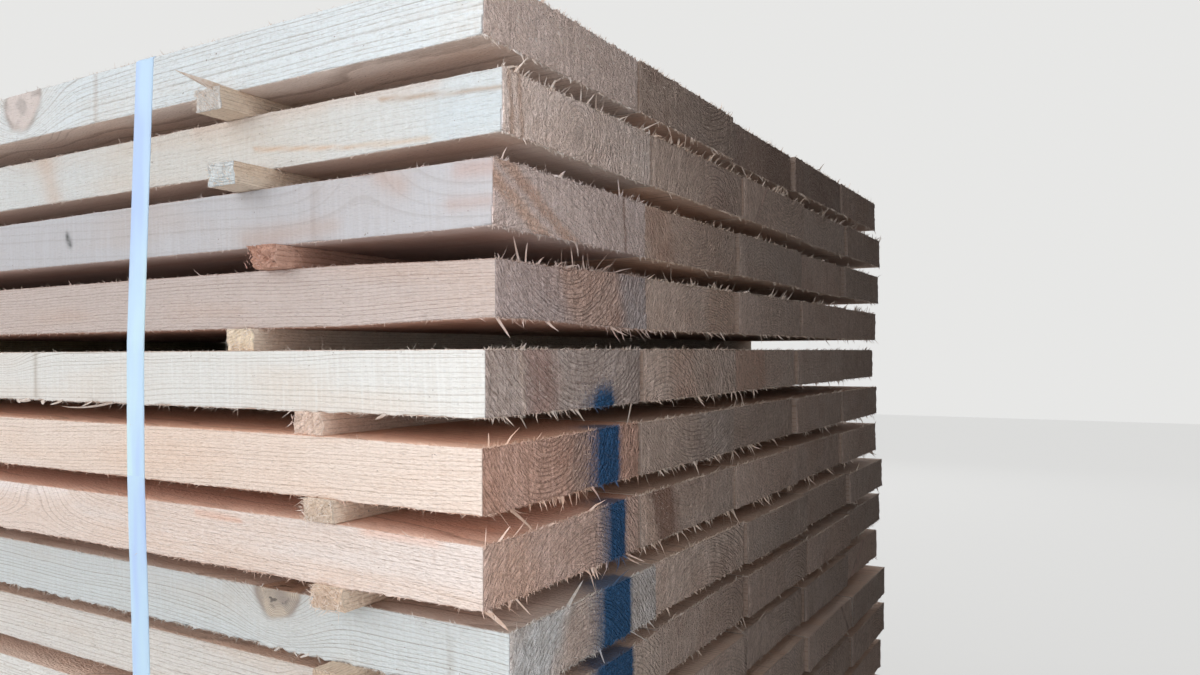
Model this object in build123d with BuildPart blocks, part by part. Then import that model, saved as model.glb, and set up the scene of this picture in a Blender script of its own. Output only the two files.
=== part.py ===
"""A strapped package of rough-sawn softwood boards, laid up in layers with drying laths between.

The boards run along X, the layers lie across Y and rise along Z, and the package rests on the
floor, at Z = 0, on the bottom runs of its two straps. The origin is under the middle of the
overall box. The best-seen corner is at +X and -Y. All lengths are in millimetres.
"""

import os

from build123d import *

# Boards: one section and one nominal length, sawn square
board_length = 3000.0
board_width = 225.0
board_thickness = 47.0
# The sawn edges are broken by this small flat along the whole length of a board
arris = 1.5
# Open joint between two boards of one layer
board_joint = 2.0
boards_across = 5
layers = 15

# Drying laths: loose sticks across the whole layer, one under another in rows
lath_width = 32.0
lath_thickness = 18.0
lath_rows = 4
# From the nominal board ends to the line of the first and the last row
lath_inset = 200.0

# Strapping band, drawn tight round the whole package and lapped on itself on the top
strap_width = 25.0
strap_thickness = 1.0
# From the line of the outer lath row to the middle of the band
strap_past_laths = 186.0
# The welded lap on the top run, and how far its middle lies from the middle of the package
lap_length = 70.0
lap_offset = 180.0

# How a package really lies: small shifts from the nominal grid, read from the top layer down
# How far each layer is shoved towards +Y
layer_shift = [-3, 10, -1, 6, -3, -5, -3, 17, 34, 30, 26, 31, 24, 28, 25]
# How far the first board of each layer stands past its nominal end
layer_end = [0, 6, 6, 3, 1, 0, -1, 6, 1, -2, 5, 3, -1, 4, 0]
# How far the ends of the other boards of a layer are stepped from the first one
board_step = [-3, 2, -5, 1, 3]
# How far each level of laths strays from its row's line, towards the middle of the length
lath_drift = [67, 40, 12, 53, -31, -46, -55, -52, -20, 14, 38, 5, -34, -12]
# How far the laths of each level stick out past the nominal side
lath_reach = [21, 29, 14, 1, 6, 9, 8, 3, 12, 5, 16, 0, 10, 4]

# Sizes that follow
layer_pitch = board_thickness + lath_thickness
board_pitch = board_width + board_joint
layer_width = boards_across * board_width + (boards_across - 1) * board_joint
package_top = strap_thickness + layers * layer_pitch - lath_thickness
half_length = board_length / 2
half_width = layer_width / 2
row_pitch = (board_length - 2 * lath_inset) / (lath_rows - 1)


def from_top(values, level):
    """The value for a level that is counted from the top, from a list that may be repeated."""
    return values[level % len(values)]


def layer_floor(level):
    """Height of the underside of a layer."""
    return package_top - board_thickness - level * layer_pitch


def board_end(level, board, ends):
    """How far one end of a board lies from the middle of the nominal length."""
    step = from_top(board_step, board + 2 * level) if board > 0 else 0
    return half_length + from_top(ends, level) + step


def lath_end(level, reaches):
    """How far one end of a level's laths lies from the middle of the nominal width."""
    return half_width + from_top(reaches, level)


# The far end and the far side have the same shifts in the other order
far_end = layer_end[::-1]
far_reach = lath_reach[::-1]

# The overall box, and the shift that brings its middle over the origin
every_layer = range(layers)
lath_levels = range(layers - 1)
each_board = [(level, board) for level in every_layer for board in range(boards_across)]
shifts = [from_top(layer_shift, level) for level in every_layer]
band_side = half_width + strap_thickness
low_side = min([-lath_end(level, lath_reach) for level in lath_levels] + [min(shifts) - band_side])
high_side = max([lath_end(level, far_reach) for level in lath_levels] + [max(shifts) + band_side])
low_end = -max(board_end(level, board, far_end) for level, board in each_board)
high_end = max(board_end(level, board, layer_end) for level, board in each_board)
middle_x = (low_end + high_end) / 2
middle_y = (low_side + high_side) / 2


def board_place(board):
    """Place across a layer of a board's middle, before the layer is shoved."""
    return (board - (boards_across - 1) / 2) * board_pitch - middle_y


# Boards: one node for each layer, and in it one solid for each board
def make_layer(level):
    with BuildPart() as layer:
        for board in range(boards_across):
            start = -board_end(level, board, far_end) - middle_x
            finish = board_end(level, board, layer_end) - middle_x
            with BuildSketch(Plane.YZ.offset(start)) as section:
                across = board_place(board) + from_top(layer_shift, level)
                with Locations((across, layer_floor(level) + board_thickness / 2)):
                    Rectangle(board_width, board_thickness)
                chamfer(section.vertices(), arris)
            extrude(amount=finish - start)
    return layer


os.makedirs("parts", exist_ok=True)

for level in every_layer:
    layer = make_layer(level)
    number = layers - level
    layer.part.label = f"board_layer_{number:02d}"
    export_step(layer.part, f"parts/board_layer_{number:02d}.step")


# Laths: one node for each row, from the +X end back, and in it one solid for each level
def make_lath_row(row):
    outward = 1 if row < lath_rows / 2 else -1
    with BuildPart() as lath_row:
        for level in lath_levels:
            line = half_length - lath_inset - row * row_pitch - middle_x
            along = line - outward * from_top(lath_drift, level + row * lath_rows)
            low = -lath_end(level + row * lath_rows, lath_reach)
            high = lath_end(level + row * lath_rows, far_reach)
            with BuildSketch(Plane.XY.offset(layer_floor(level) - lath_thickness)):
                with Locations((along, (low + high) / 2 - middle_y)):
                    Rectangle(lath_width, high - low)
            extrude(amount=lath_thickness)
    return lath_row


for row in range(lath_rows):
    lath_row = make_lath_row(row)
    lath_row.part.label = f"lath_row_{row + 1}"
    export_step(lath_row.part, f"parts/lath_row_{row + 1}.step")


# Straps: the band bridges the layers that lie back, so its inside is the hull of all the layers
def make_strap(along):
    with BuildSketch() as hull:
        for level in every_layer:
            across = from_top(layer_shift, level) - middle_y
            with Locations((across, layer_floor(level) + board_thickness / 2)):
                Rectangle(layer_width, board_thickness)
        chamfer(hull.vertices(), arris)
        make_hull()
    with BuildPart() as strap:
        with BuildSketch(Plane.YZ.offset(along)):
            add(hull.sketch)
            offset(amount=strap_thickness, kind=Kind.INTERSECTION)
            with Locations((lap_offset, package_top + strap_thickness * 1.5)):
                Rectangle(lap_length, strap_thickness)
            add(hull.sketch, mode=Mode.SUBTRACT)
        extrude(amount=strap_width / 2, both=True)
    return strap


strap_line = half_length - lath_inset - strap_past_laths
for number, along in enumerate((strap_line, -strap_line), start=1):
    strap = make_strap(along - middle_x)
    strap.part.label = f"strap_{number}"
    export_step(strap.part, f"parts/strap_{number}.step")
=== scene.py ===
"""Dresses a strapped package of rough-sawn softwood boards.

Every board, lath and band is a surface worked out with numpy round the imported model's own solids:
sawn faces with growth rings and knots, torn and fuzzy ends, splinters, a sprayed colour mark and
the strapping band. Lengths in the code are millimetres and turn into metres in the meshes.
"""

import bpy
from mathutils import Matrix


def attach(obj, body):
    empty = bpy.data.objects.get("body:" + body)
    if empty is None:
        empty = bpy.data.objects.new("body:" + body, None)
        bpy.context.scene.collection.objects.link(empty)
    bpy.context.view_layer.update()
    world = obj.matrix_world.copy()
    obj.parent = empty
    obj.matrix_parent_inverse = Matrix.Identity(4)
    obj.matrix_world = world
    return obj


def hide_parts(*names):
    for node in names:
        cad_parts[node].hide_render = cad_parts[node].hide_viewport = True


bl_info = {
    "name": "Sawn Board Package",
    "version": (1, 0, 0),
    "blender": (4, 5, 0),
    "location": "View3D > Sidebar > Boards",
    "description": "Builds a strapped package of rough-sawn boards with drying laths",
    "category": "Add Mesh",
}

import math

import bpy
import numpy as np
from bpy.props import FloatProperty, FloatVectorProperty, PointerProperty
from mathutils import Matrix, Vector

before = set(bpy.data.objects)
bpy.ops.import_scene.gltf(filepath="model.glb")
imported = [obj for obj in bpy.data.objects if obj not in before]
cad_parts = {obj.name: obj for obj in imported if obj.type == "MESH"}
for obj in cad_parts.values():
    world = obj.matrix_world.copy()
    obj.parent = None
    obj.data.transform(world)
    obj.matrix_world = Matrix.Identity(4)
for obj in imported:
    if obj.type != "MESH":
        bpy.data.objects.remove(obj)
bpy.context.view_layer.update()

MM = 0.001
LAYER_NODES = sorted((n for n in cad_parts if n.startswith("board_layer")), reverse=True)
LATH_NODES = sorted(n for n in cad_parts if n.startswith("lath_row"))
STRAP_NODES = sorted(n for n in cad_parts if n.startswith("strap"))
BOARDS_ACROSS = 5
BOARD_WIDTH = 225.0
BOARD_JOINT = 2.0
LAYER_PITCH = 65.0
LATH_THICKNESS = 18.0
# The boards of a layer whose long sides are the package's own
OUTER_BOARDS = (0, BOARDS_ACROSS - 1)
# The layers, counted from the top, whose +X ends and -Y sides are seen from close by
SEEN_LAYERS = 9


# Noise and arrays

# Large odd factors that mix the coordinates of a point, and the bits that are kept of the product
FACTORS = (374761393, 668265263, 1274126177, 974634777)
MIXERS = ((13, 1103515245, 12345), (16, 747796405, 1))
KEPT_BITS = 0xFFFFFFFF


def scatter(points, seed):
    """A number from 0 to 1 for each whole-numbered point, by multiplying and shifting its coordinates."""
    x, y, z = (points[..., i].astype(np.int64) for i in range(3))
    mixed = sum(value * factor for value, factor in zip((x, y, z, seed), FACTORS)) & KEPT_BITS
    for shift, factor, extra in MIXERS:
        mixed = ((mixed ^ (mixed >> shift)) * factor + extra) & KEPT_BITS
    return (mixed ^ (mixed >> 15)) / KEPT_BITS


def lumps(points, cell, seed):
    """Smooth noise from -1 to 1: corner values of a grid of cells, blended with 3t^2 - 2t^3 between them."""
    scaled = points / np.asarray(cell, float)
    low = np.floor(scaled)
    part = scaled - low
    part = part * part * (3 - 2 * part)
    total = np.zeros(points.shape[:-1])
    for corner in np.ndindex(2, 2, 2):
        corner = np.array(corner)
        weight = np.prod(np.where(corner, part, 1 - part), axis=-1)
        total += weight * scatter(low + corner, seed)
    return total * 2 - 1


def smooth(low, high, value):
    """0 below low, 1 above high and 3t^2 - 2t^3 between."""
    t = np.clip((value - low) / (high - low), 0, 1)
    return t * t * (3 - 2 * t)


def make_piece(name, points, faces, materials, face_material=None, attributes=(), flat=None):
    """Puts arrays of points (mm) and of three- or four-cornered faces into a new mesh object."""
    mesh = bpy.data.meshes.new(name)
    corners = [np.asarray(block, np.int64) for block in faces]
    loops = np.concatenate([block.ravel() for block in corners])
    sizes = np.concatenate([np.full(len(block), block.shape[1]) for block in corners])
    mesh.vertices.add(len(points))
    mesh.vertices.foreach_set("co", (np.asarray(points) * MM).astype(np.float32).ravel())
    mesh.loops.add(len(loops))
    mesh.loops.foreach_set("vertex_index", loops.astype(np.int32))
    mesh.polygons.add(len(sizes))
    mesh.polygons.foreach_set("loop_start", (np.cumsum(sizes) - sizes).astype(np.int32))
    if face_material is not None:
        mesh.polygons.foreach_set("material_index", np.asarray(face_material, np.int32))
    for attribute, kind, values in attributes:
        layer = mesh.attributes.new(attribute, kind, "POINT")
        field = {"FLOAT": "value", "FLOAT_VECTOR": "vector", "FLOAT_COLOR": "color"}[kind]
        layer.data.foreach_set(field, np.asarray(values, np.float32).ravel())
    mesh.update(calc_edges=True)
    smooth_faces = np.ones(len(sizes), bool) if flat is None else ~np.asarray(flat, bool)
    mesh.polygons.foreach_set("use_smooth", smooth_faces)
    piece = bpy.data.objects.new(name, mesh)
    for material in materials:
        mesh.materials.append(material)
    bpy.context.scene.collection.objects.link(piece)
    return piece


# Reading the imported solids


def solid_points(node):
    """All the points of a CAD node, in mm."""
    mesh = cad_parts[node].data
    flat = np.empty(len(mesh.vertices) * 3, np.float32)
    mesh.vertices.foreach_get("co", flat)
    return flat.reshape(-1, 3).astype(float) / MM


def board_boxes(node):
    """The (low, high) corners of each board of a layer, from the -Y side across."""
    points = solid_points(node)
    first = points[:, 1].min()
    boxes = []
    for board in range(BOARDS_ACROSS):
        low = first + board * (BOARD_WIDTH + BOARD_JOINT)
        own = points[(points[:, 1] > low - 0.5) & (points[:, 1] < low + BOARD_WIDTH + 0.5)]
        boxes.append((own.min(axis=0), own.max(axis=0)))
    return boxes


def lath_boxes(node):
    """The (low, high) corners of each lath of a row, from the top down."""
    points = solid_points(node)
    top = points[:, 2].max()
    boxes = []
    for level in range(len(LAYER_NODES) - 1):
        high = top - level * LAYER_PITCH
        own = points[(points[:, 2] < high + 0.5) & (points[:, 2] > high - LATH_THICKNESS - 0.5)]
        boxes.append((own.min(axis=0), own.max(axis=0)))
    return boxes


# A sawn block: rings of points round the section at stations along X, closed by a grid at each end


def division(length, cell, margin):
    """Places from 0 to length: close together in the margins, then evenly spaced by about cell."""
    inner = max(int(round((length - 2 * margin) / cell)), 1)
    middle = np.linspace(margin, length - margin, inner + 1)
    half_way = margin * 0.45
    return np.concatenate([[0, half_way], middle, [length - half_way, length]])


def loop_band(one, two):
    """Quads between two closed loops of point numbers of one length, of which the first lies lower."""
    return np.stack([one, np.roll(one, -1), np.roll(two, -1), two], axis=1)


def section_ring(ys, zs):
    """The border of a grid of ys by zs as (y, z) points, anticlockwise seen from +X, and as grid places."""
    last_y, last_z = len(ys) - 1, len(zs) - 1
    j = np.concatenate([
        np.arange(last_y), np.full(last_z, last_y), np.arange(last_y, 0, -1), np.zeros(last_z, int),
    ])
    k = np.concatenate([
        np.zeros(last_y, int), np.arange(last_z), np.full(last_y, last_z), np.arange(last_z, 0, -1),
    ])
    return np.stack([ys[j], zs[k]], axis=1), j, k


def ring_distance(ring):
    """How far along the border each point of a ring lies, as a share of the whole way round."""
    steps = np.abs(np.roll(ring, -1, axis=0) - ring).sum(axis=1)
    return np.concatenate([[0], np.cumsum(steps)]) / steps.sum()


def stitch(first, first_share, second, second_share):
    """Triangles between two closed rings of different counts, zipped in order of their shares.

    Each edge of one ring is joined to the point that the other ring has reached by then. The first
    ring lies at lower X than the second.
    """
    n, m = len(first), len(second)
    reached = np.searchsorted(second_share[1:], first_share[1:], side="left")
    a = np.stack([first, np.roll(first, -1), second[reached % m]], axis=1)
    passed = np.searchsorted(first_share[1:], second_share[1:], side="right")
    b = np.stack([second, first[passed % n], np.roll(second, -1)], axis=1)
    return np.concatenate([a, b])


def sawn_block(low, high, stations, section, low_end, high_end):
    """Flat points and faces of a box along X, cut into rings and closed by a grid at each end.

    stations are the X places of the coarse rings, section is their (y cell, z cell, margin). low_end
    and high_end are (cell, margin, distances of the fine rings from that end, from the outside in).
    Returns the points, the blocks of faces, and for each face whether it is end grain.
    """
    size = high - low
    blocks, faces, is_end = [], [], []
    count = 0

    def grid_lines(y_cell, z_cell, margin):
        ys = low[1] + division(size[1], y_cell, margin)
        return ys, low[2] + division(size[2], z_cell, margin)

    def add_faces(block, end):
        faces.append(block)
        is_end.append(np.full(len(block), end))

    def add_ring(x, ring):
        nonlocal count
        blocks.append(np.column_stack([np.full(len(ring), x), ring]))
        count += len(ring)
        return np.arange(count - len(ring), count)

    # Each end's grid and its fine rings, then the coarse rings between them
    fine_rings = []
    for side, (cell, margin, depths) in enumerate((low_end, high_end)):
        edge, inward = (high[0], -1) if side else (low[0], 1)
        ys, zs = grid_lines(cell, cell, margin)
        ring, j, k = section_ring(ys, zs)
        grid = np.stack(np.meshgrid(ys, zs, indexing="ij"), axis=-1)
        index = add_ring(edge, grid.reshape(-1, 2)).reshape(grid.shape[:2])
        quads = np.stack([index[:-1, :-1], index[1:, :-1], index[1:, 1:], index[:-1, 1:]], axis=-1)
        quads = quads.reshape(-1, 4)
        add_faces(quads if side else quads[:, ::-1], True)
        fine = [index[j, k]] + [add_ring(edge + inward * depth, ring) for depth in depths]
        fine_rings.append((fine, ring_distance(ring)))
    coarse, _, _ = section_ring(*grid_lines(*section))
    inner = [add_ring(x, coarse) for x in stations]
    share = ring_distance(coarse)

    # The long faces, from the low end up
    (low_rings, low_share), (high_rings, high_share) = fine_rings
    for one, two in zip(low_rings[:-1], low_rings[1:]):
        add_faces(loop_band(one, two), False)
    add_faces(stitch(low_rings[-1], low_share, inner[0], share), False)
    for one, two in zip(inner[:-1], inner[1:]):
        add_faces(loop_band(one, two), False)
    add_faces(stitch(inner[-1], share, high_rings[-1], high_share), False)
    for one, two in zip(high_rings[:0:-1], high_rings[-2::-1]):
        add_faces(loop_band(one, two), False)
    return np.concatenate(blocks), faces, np.concatenate(is_end)


def round_off(points, low, high, radius):
    """Rounds a box's edges: each point is kept radius from its nearest place in the shrunken box.

    Returns the moved points and the outward directions there.
    """
    radius = radius[:, None]
    core = np.clip(points, low + radius, high - radius)
    away = points - core
    length = np.linalg.norm(away, axis=1, keepdims=True)
    outward = away / np.maximum(length, 1e-9)
    return core + outward * radius, outward


# Slivers: thin three-sided blades that taper to a tip and bend


def slivers(base, aim, bend, length, width, thickness, parts):
    """Blades along base + aim s + bend s^2 for s from 0 to length, three-sided and tapering to a tip.

    All arguments but parts are arrays with one row for each blade. The half width at s is
    width (1 - s / length)^0.4 / 2. Returns points and faces.
    """
    n = len(base)
    aim = aim / np.linalg.norm(aim, axis=1, keepdims=True)
    s = np.linspace(0, 1, parts + 1)[:-1]
    path = base[:, None] + (aim * length[:, None])[:, None] * s[None, :, None]
    path = path + (bend * length[:, None])[:, None] * (s**2)[None, :, None]
    tip = base + aim * length[:, None] + bend * length[:, None]
    helper = np.where(np.abs(aim[:, 2:3]) > 0.9, [[1.0, 0, 0]], [[0, 0, 1.0]])
    across = np.cross(aim, helper)
    across /= np.linalg.norm(across, axis=1, keepdims=True)
    turn = scatter(np.round(base * 7), 5) * math.pi
    upright = np.cross(across, aim)
    wide = across * np.cos(turn)[:, None] + upright * np.sin(turn)[:, None]
    thin = np.cross(wide, aim)
    taper = (1 - s) ** 0.4 / 2
    wide = wide[:, None] * (width[:, None] * taper)[..., None]
    thin = thin[:, None] * (thickness[:, None] * taper)[..., None]
    rings = np.stack([path + wide, path - wide, path + thin * 2], axis=2)
    points = np.concatenate([rings.reshape(n, -1, 3), tip[:, None]], axis=1)

    # The faces of one blade: its sides from ring to ring, the last ring to the tip, and the root
    tip_number = 3 * parts
    blade = []
    for a in range(0, tip_number - 3, 3):
        for i in range(3):
            j = (i + 1) % 3
            blade.append([a + i, a + j, a + 3 + j])
            blade.append([a + i, a + 3 + j, a + 3 + i])
    for i in range(3):
        blade.append([tip_number - 3 + i, tip_number - 3 + (i + 1) % 3, tip_number])
    blade.append([0, 2, 1])
    starts = np.arange(n) * (tip_number + 1)
    faces = (starts[:, None, None] + np.array(blade)[None]).reshape(-1, 3)
    return points.reshape(-1, 3), faces


# Materials


class Finish:
    """One material's node tree, with short forms for its nodes."""

    def __init__(self, name, roughness, specular=0.3):
        self.material = bpy.data.materials.new(name)
        self.material.use_nodes = True
        tree = self.material.node_tree
        self.nodes, self.links = tree.nodes, tree.links
        self.nodes.clear()
        self.shader = self.nodes.new("ShaderNodeBsdfPrincipled")
        self.shader.inputs["Roughness"].default_value = roughness
        self.shader.inputs["Specular IOR Level"].default_value = specular
        output = self.nodes.new("ShaderNodeOutputMaterial")
        self.links.new(self.shader.outputs[0], output.inputs["Surface"])

    def feed(self, socket, value):
        """Links a node's output to a socket, or sets the socket to a number or colour."""
        if isinstance(value, bpy.types.NodeSocket):
            self.links.new(value, socket)
        else:
            socket.default_value = value

    def math(self, operation, a, b=0.0, clamp=False):
        node = self.nodes.new("ShaderNodeMath")
        node.operation = operation
        node.use_clamp = clamp
        self.feed(node.inputs[0], a)
        self.feed(node.inputs[1], b)
        return node.outputs[0]

    def times(self, a, b, clamp=False):
        return self.math("MULTIPLY", a, b, clamp)

    def plus(self, a, b):
        return self.math("ADD", a, b)

    def minus(self, a, b):
        return self.math("SUBTRACT", a, b)

    def divided(self, a, b):
        return self.math("DIVIDE", a, b)

    def vector(self, operation, a, b=(0, 0, 0), scale=None):
        node = self.nodes.new("ShaderNodeVectorMath")
        node.operation = operation
        self.feed(node.inputs[0], a)
        self.feed(node.inputs[1], b)
        if scale is not None:
            self.feed(node.inputs["Scale"], scale)
        return node.outputs["Value"] if operation in ("LENGTH", "DOT_PRODUCT") else node.outputs[0]

    def stretched(self, place, factors):
        return self.vector("MULTIPLY", place, factors)

    def shifted(self, place, way):
        return self.vector("ADD", place, way)

    def split(self, value):
        node = self.nodes.new("ShaderNodeSeparateXYZ")
        self.feed(node.inputs[0], value)
        return node.outputs[0], node.outputs[1], node.outputs[2]

    def join(self, x, y, z):
        node = self.nodes.new("ShaderNodeCombineXYZ")
        for socket, value in zip(node.inputs, (x, y, z)):
            self.feed(socket, value)
        return node.outputs[0]

    def attribute(self, name, output):
        node = self.nodes.new("ShaderNodeAttribute")
        node.attribute_name = name
        return node.outputs[output]

    def noise(self, place, scale=1.0, detail=2.0, rough=0.5, output="Fac"):
        node = self.nodes.new("ShaderNodeTexNoise")
        self.feed(node.inputs["Vector"], place)
        node.inputs["Scale"].default_value = scale
        node.inputs["Detail"].default_value = detail
        node.inputs["Roughness"].default_value = rough
        return node.outputs[output]

    def step(self, value, low, high, to_low=0.0, to_high=1.0):
        """A smooth step from one level to another, falling where low is above high."""
        node = self.nodes.new("ShaderNodeMapRange")
        node.interpolation_type = "SMOOTHSTEP"
        self.feed(node.inputs["Value"], value)
        self.feed(node.inputs["From Min"], low)
        self.feed(node.inputs["From Max"], high)
        self.feed(node.inputs["To Min"], to_low)
        self.feed(node.inputs["To Max"], to_high)
        return node.outputs["Result"]

    def mix(self, share, one, two, blend="MIX"):
        node = self.nodes.new("ShaderNodeMix")
        node.data_type = "RGBA"
        node.blend_type = blend
        self.feed(node.inputs[0], share)
        for socket, value in ((node.inputs[6], one), (node.inputs[7], two)):
            self.feed(socket, value if isinstance(value, bpy.types.NodeSocket) else (*value, 1.0))
        return node.outputs[2]

    def shades_of(self, tone):
        """A function that gives the tone multiplied by a red, a green and a blue share."""
        return lambda *tint: self.mix(1.0, tone, tint, "MULTIPLY")

    def bump(self, height, distance, strength=1.0):
        node = self.nodes.new("ShaderNodeBump")
        node.inputs["Strength"].default_value = strength
        node.inputs["Distance"].default_value = distance
        self.feed(node.inputs["Height"], height)
        self.links.new(node.outputs[0], self.shader.inputs["Normal"])

    def colour(self, value):
        self.feed(self.shader.inputs["Base Color"], value)
        return self.material


def growth(finish):
    """The growth rings and knots at a point, from its place in the log in mm.

    The attribute grain holds (along, across, up) from the pith, make holds (ring width, heartwood
    radius, a number for the board) and knot holds (along, across, radius) from the one marked knot.
    The distance from the pith, warped by slow noise and lifted round the branches, is divided by the
    ring width, and its fraction rises slowly through the ring and drops at the late wood's edge.

    Of the values returned, gx, gy and gz are the parts of grain, away shifts noise by the board's
    number, turn is the angle round the pith and lifted the warped distance from it. The others are
    shares from 0 to 1: late wood, heartwood, the inside of a knot, its core, rim, halo and rings,
    and whether the board is one of the lower ones, whose knots are dark and cracked.
    """
    grain = finish.attribute("grain", "Vector")
    ring_width, heart_radius, number = finish.split(finish.attribute("make", "Vector"))
    gx, gy, gz = finish.split(grain)
    away = finish.join(finish.times(number, 37.0), finish.times(number, 11.0), number)
    middle = (0.5, 0.5, 0.5)
    slow = finish.shifted(finish.stretched(grain, (0.0035, 0.011, 0.011)), away)
    drift = finish.vector("SUBTRACT", finish.noise(slow, 1.0, 2.0, 0.45, "Color"), middle)
    quick = finish.shifted(finish.stretched(grain, (0.018, 0.07, 0.07)), away)
    tremble = finish.vector("SUBTRACT", finish.noise(quick, 1.0, 2.0, 0.5, "Color"), middle)
    warp = finish.shifted(
        finish.vector("SCALE", drift, scale=16.0), finish.vector("SCALE", tremble, scale=1.6)
    )
    _, my, mz = finish.split(warp)
    wy = finish.plus(gy, my)
    wz = finish.plus(gz, mz)
    radius = finish.vector("LENGTH", finish.join(0.0, wy, wz))
    turn = finish.math("ARCTAN2", wz, wy)

    # Branches stand out from the pith in whorls: cells of length along the log by angle round it
    whorl, sector = 260.0, 1.1
    place = finish.join(finish.divided(gx, whorl), finish.divided(turn, sector), 0.0)
    place = finish.shifted(place, away)
    cells = finish.nodes.new("ShaderNodeTexVoronoi")
    cells.voronoi_dimensions = "2D"
    cells.inputs["Scale"].default_value = 1.0
    cells.inputs["Randomness"].default_value = 0.9
    finish.feed(cells.inputs["Vector"], place)
    offset = finish.vector("SUBTRACT", place, cells.outputs["Position"])
    ox, ot, _ = finish.split(offset)
    side = finish.times(finish.times(ot, sector), radius)
    reach = finish.vector("LENGTH", finish.join(finish.times(ox, whorl * 0.75), side, 0.0))
    chance, size, _ = finish.split(cells.outputs["Color"])
    chance = finish.minus(chance, finish.math("LESS_THAN", number, 0.0))
    there = finish.math("GREATER_THAN", chance, 0.74)
    branch = finish.plus(finish.times(size, 7.0), 3.5)
    branch = finish.times(branch, finish.step(radius, 0.0, 70.0, 0.25, 1.0))
    branch = finish.plus(finish.times(branch, there), 0.01)
    near = finish.divided(reach, branch)

    ka, kb, k_radius = finish.split(finish.attribute("knot", "Vector"))
    marked_reach = finish.vector("LENGTH", finish.join(finish.times(ka, 0.8), kb, 0.0))
    marked = finish.divided(marked_reach, finish.plus(k_radius, 0.01))
    own = finish.math("LESS_THAN", marked, near)
    dent = finish.noise(finish.stretched(grain, (0.05, 0.05, 0.05)), 1.0, 0.0)
    plain = finish.math("MINIMUM", near, marked)
    closest = finish.times(plain, finish.step(dent, 0.2, 0.8, 0.93, 1.08))
    of_branch, of_marked = (finish.join(size, size, size) for size in (branch, k_radius))
    knot_size, _, _ = finish.split(finish.mix(own, of_branch, of_marked))
    fall = finish.math("POWER", finish.times(plain, 0.55), 2.0)
    lift = finish.math("EXPONENT", finish.times(fall, -1.0))
    lift = finish.times(finish.times(lift, knot_size), 1.9)
    lifted = finish.minus(radius, lift)

    uneven = finish.noise(finish.join(finish.times(lifted, 0.06), number, 0.0), 1.0, 1.0)
    turns = finish.plus(finish.divided(lifted, ring_width), finish.times(uneven, 2.4))
    part = finish.math("FRACT", turns)
    late = finish.times(finish.step(part, 0.66, 0.94), finish.step(part, 1.0, 0.95))
    which = finish.math("FLOOR", turns)
    strong = finish.noise(finish.join(finish.times(which, 0.73), number, 1.0), 1.0, 0.0)
    late = finish.times(late, finish.step(strong, 0.25, 0.7, 0.45, 1.25))
    heart = finish.step(lifted, finish.plus(heart_radius, 5.0), finish.minus(heart_radius, 4.0))
    inside = finish.step(closest, 1.12, 0.9)
    rim = finish.times(finish.step(closest, 1.25, 1.0), finish.step(closest, 0.82, 1.0))
    halo = finish.step(closest, 3.2, 1.1)
    core = finish.step(closest, 0.72, 0.40)
    knot_rings = finish.math("FRACT", finish.times(finish.times(closest, knot_size), 0.75))
    return {
        "grain": grain, "gx": gx, "gy": gy, "gz": gz, "away": away, "turn": turn, "lifted": lifted,
        "late": late, "heart": heart, "inside": inside, "core": core, "rim": rim, "halo": halo,
        "knot_rings": knot_rings, "dark": finish.step(number, -2.2, -3.4),
    }


def paint_over(finish, colour, rings, strength):
    """Lays the sprayed colour mark over a colour, broken up by fine noise."""
    speck = finish.noise(rings["grain"], 0.5, 3.0, 0.7)
    cover = finish.plus(finish.attribute("paint", "Fac"), finish.times(speck, 0.8))
    cover = finish.times(finish.step(cover, 0.38, 1.22), strength)
    mark = tuple(bpy.context.scene.board_package.mark_colour)
    thick, thin = (tuple(share * c for c in mark) for share in (0.6, 1.5))
    return finish.mix(cover, colour, finish.mix(finish.step(speck, 0.35, 0.7), thick, thin))


def strands(finish, rings, angle, along, across, seed, thin):
    """Thin bent strands across the YZ plane: they lie where stretched noise crosses its middle value."""
    c, s = math.cos(angle), math.sin(angle)
    u = finish.times(finish.vector("DOT_PRODUCT", rings["grain"], (0, c, s)), along)
    v = finish.times(finish.vector("DOT_PRODUCT", rings["grain"], (0, -s, c)), across)
    field = finish.noise(finish.join(u, v, seed), 1.0, 2.0, 0.65)
    off = finish.math("ABSOLUTE", finish.minus(field, 0.5))
    return finish.step(off, thin, 0.0)


def lay_knots(finish, base, tone, rings, depth):
    """Lays knots over a colour: brown rings inside, bark along parts of the rim, cracks in dark ones."""
    shade = finish.shades_of(tone)
    ring = finish.step(rings["knot_rings"], 0.3, 0.9)
    bark = finish.noise(finish.stretched(rings["grain"], (0.045, 0.06, 0.06)), 1.0, 0.0)
    crack = finish.noise(finish.stretched(rings["grain"], (0.10, 0.17, 0.17)), 1.0, 2.0, 0.6)
    cracked = finish.times(rings["core"], finish.step(crack, 0.54, 0.62))
    knot = finish.mix(ring, shade(0.97, 0.81, 0.75), shade(0.86, 0.69, 0.62))
    brown = finish.mix(ring, shade(0.96, 0.80, 0.66), shade(0.62, 0.46, 0.36))
    brown = finish.mix(finish.times(rings["core"], 0.7), brown, shade(0.62, 0.50, 0.42))
    brown = finish.mix(cracked, brown, shade(0.26, 0.21, 0.18))
    knot = finish.mix(rings["dark"], knot, brown)
    knot = finish.mix(finish.step(bark, 0.50, 0.68, 0.0, 0.45), knot, shade(0.44, 0.37, 0.34))
    base = finish.mix(finish.times(rings["halo"], 0.3), base, shade(0.97, 0.87, 0.80))
    base = finish.mix(finish.times(rings["inside"], depth), base, knot)
    rim = finish.times(rings["rim"], finish.step(bark, 0.38, 0.62, 0.2, 0.6))
    return finish.mix(rim, base, shade(0.46, 0.35, 0.30))


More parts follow.
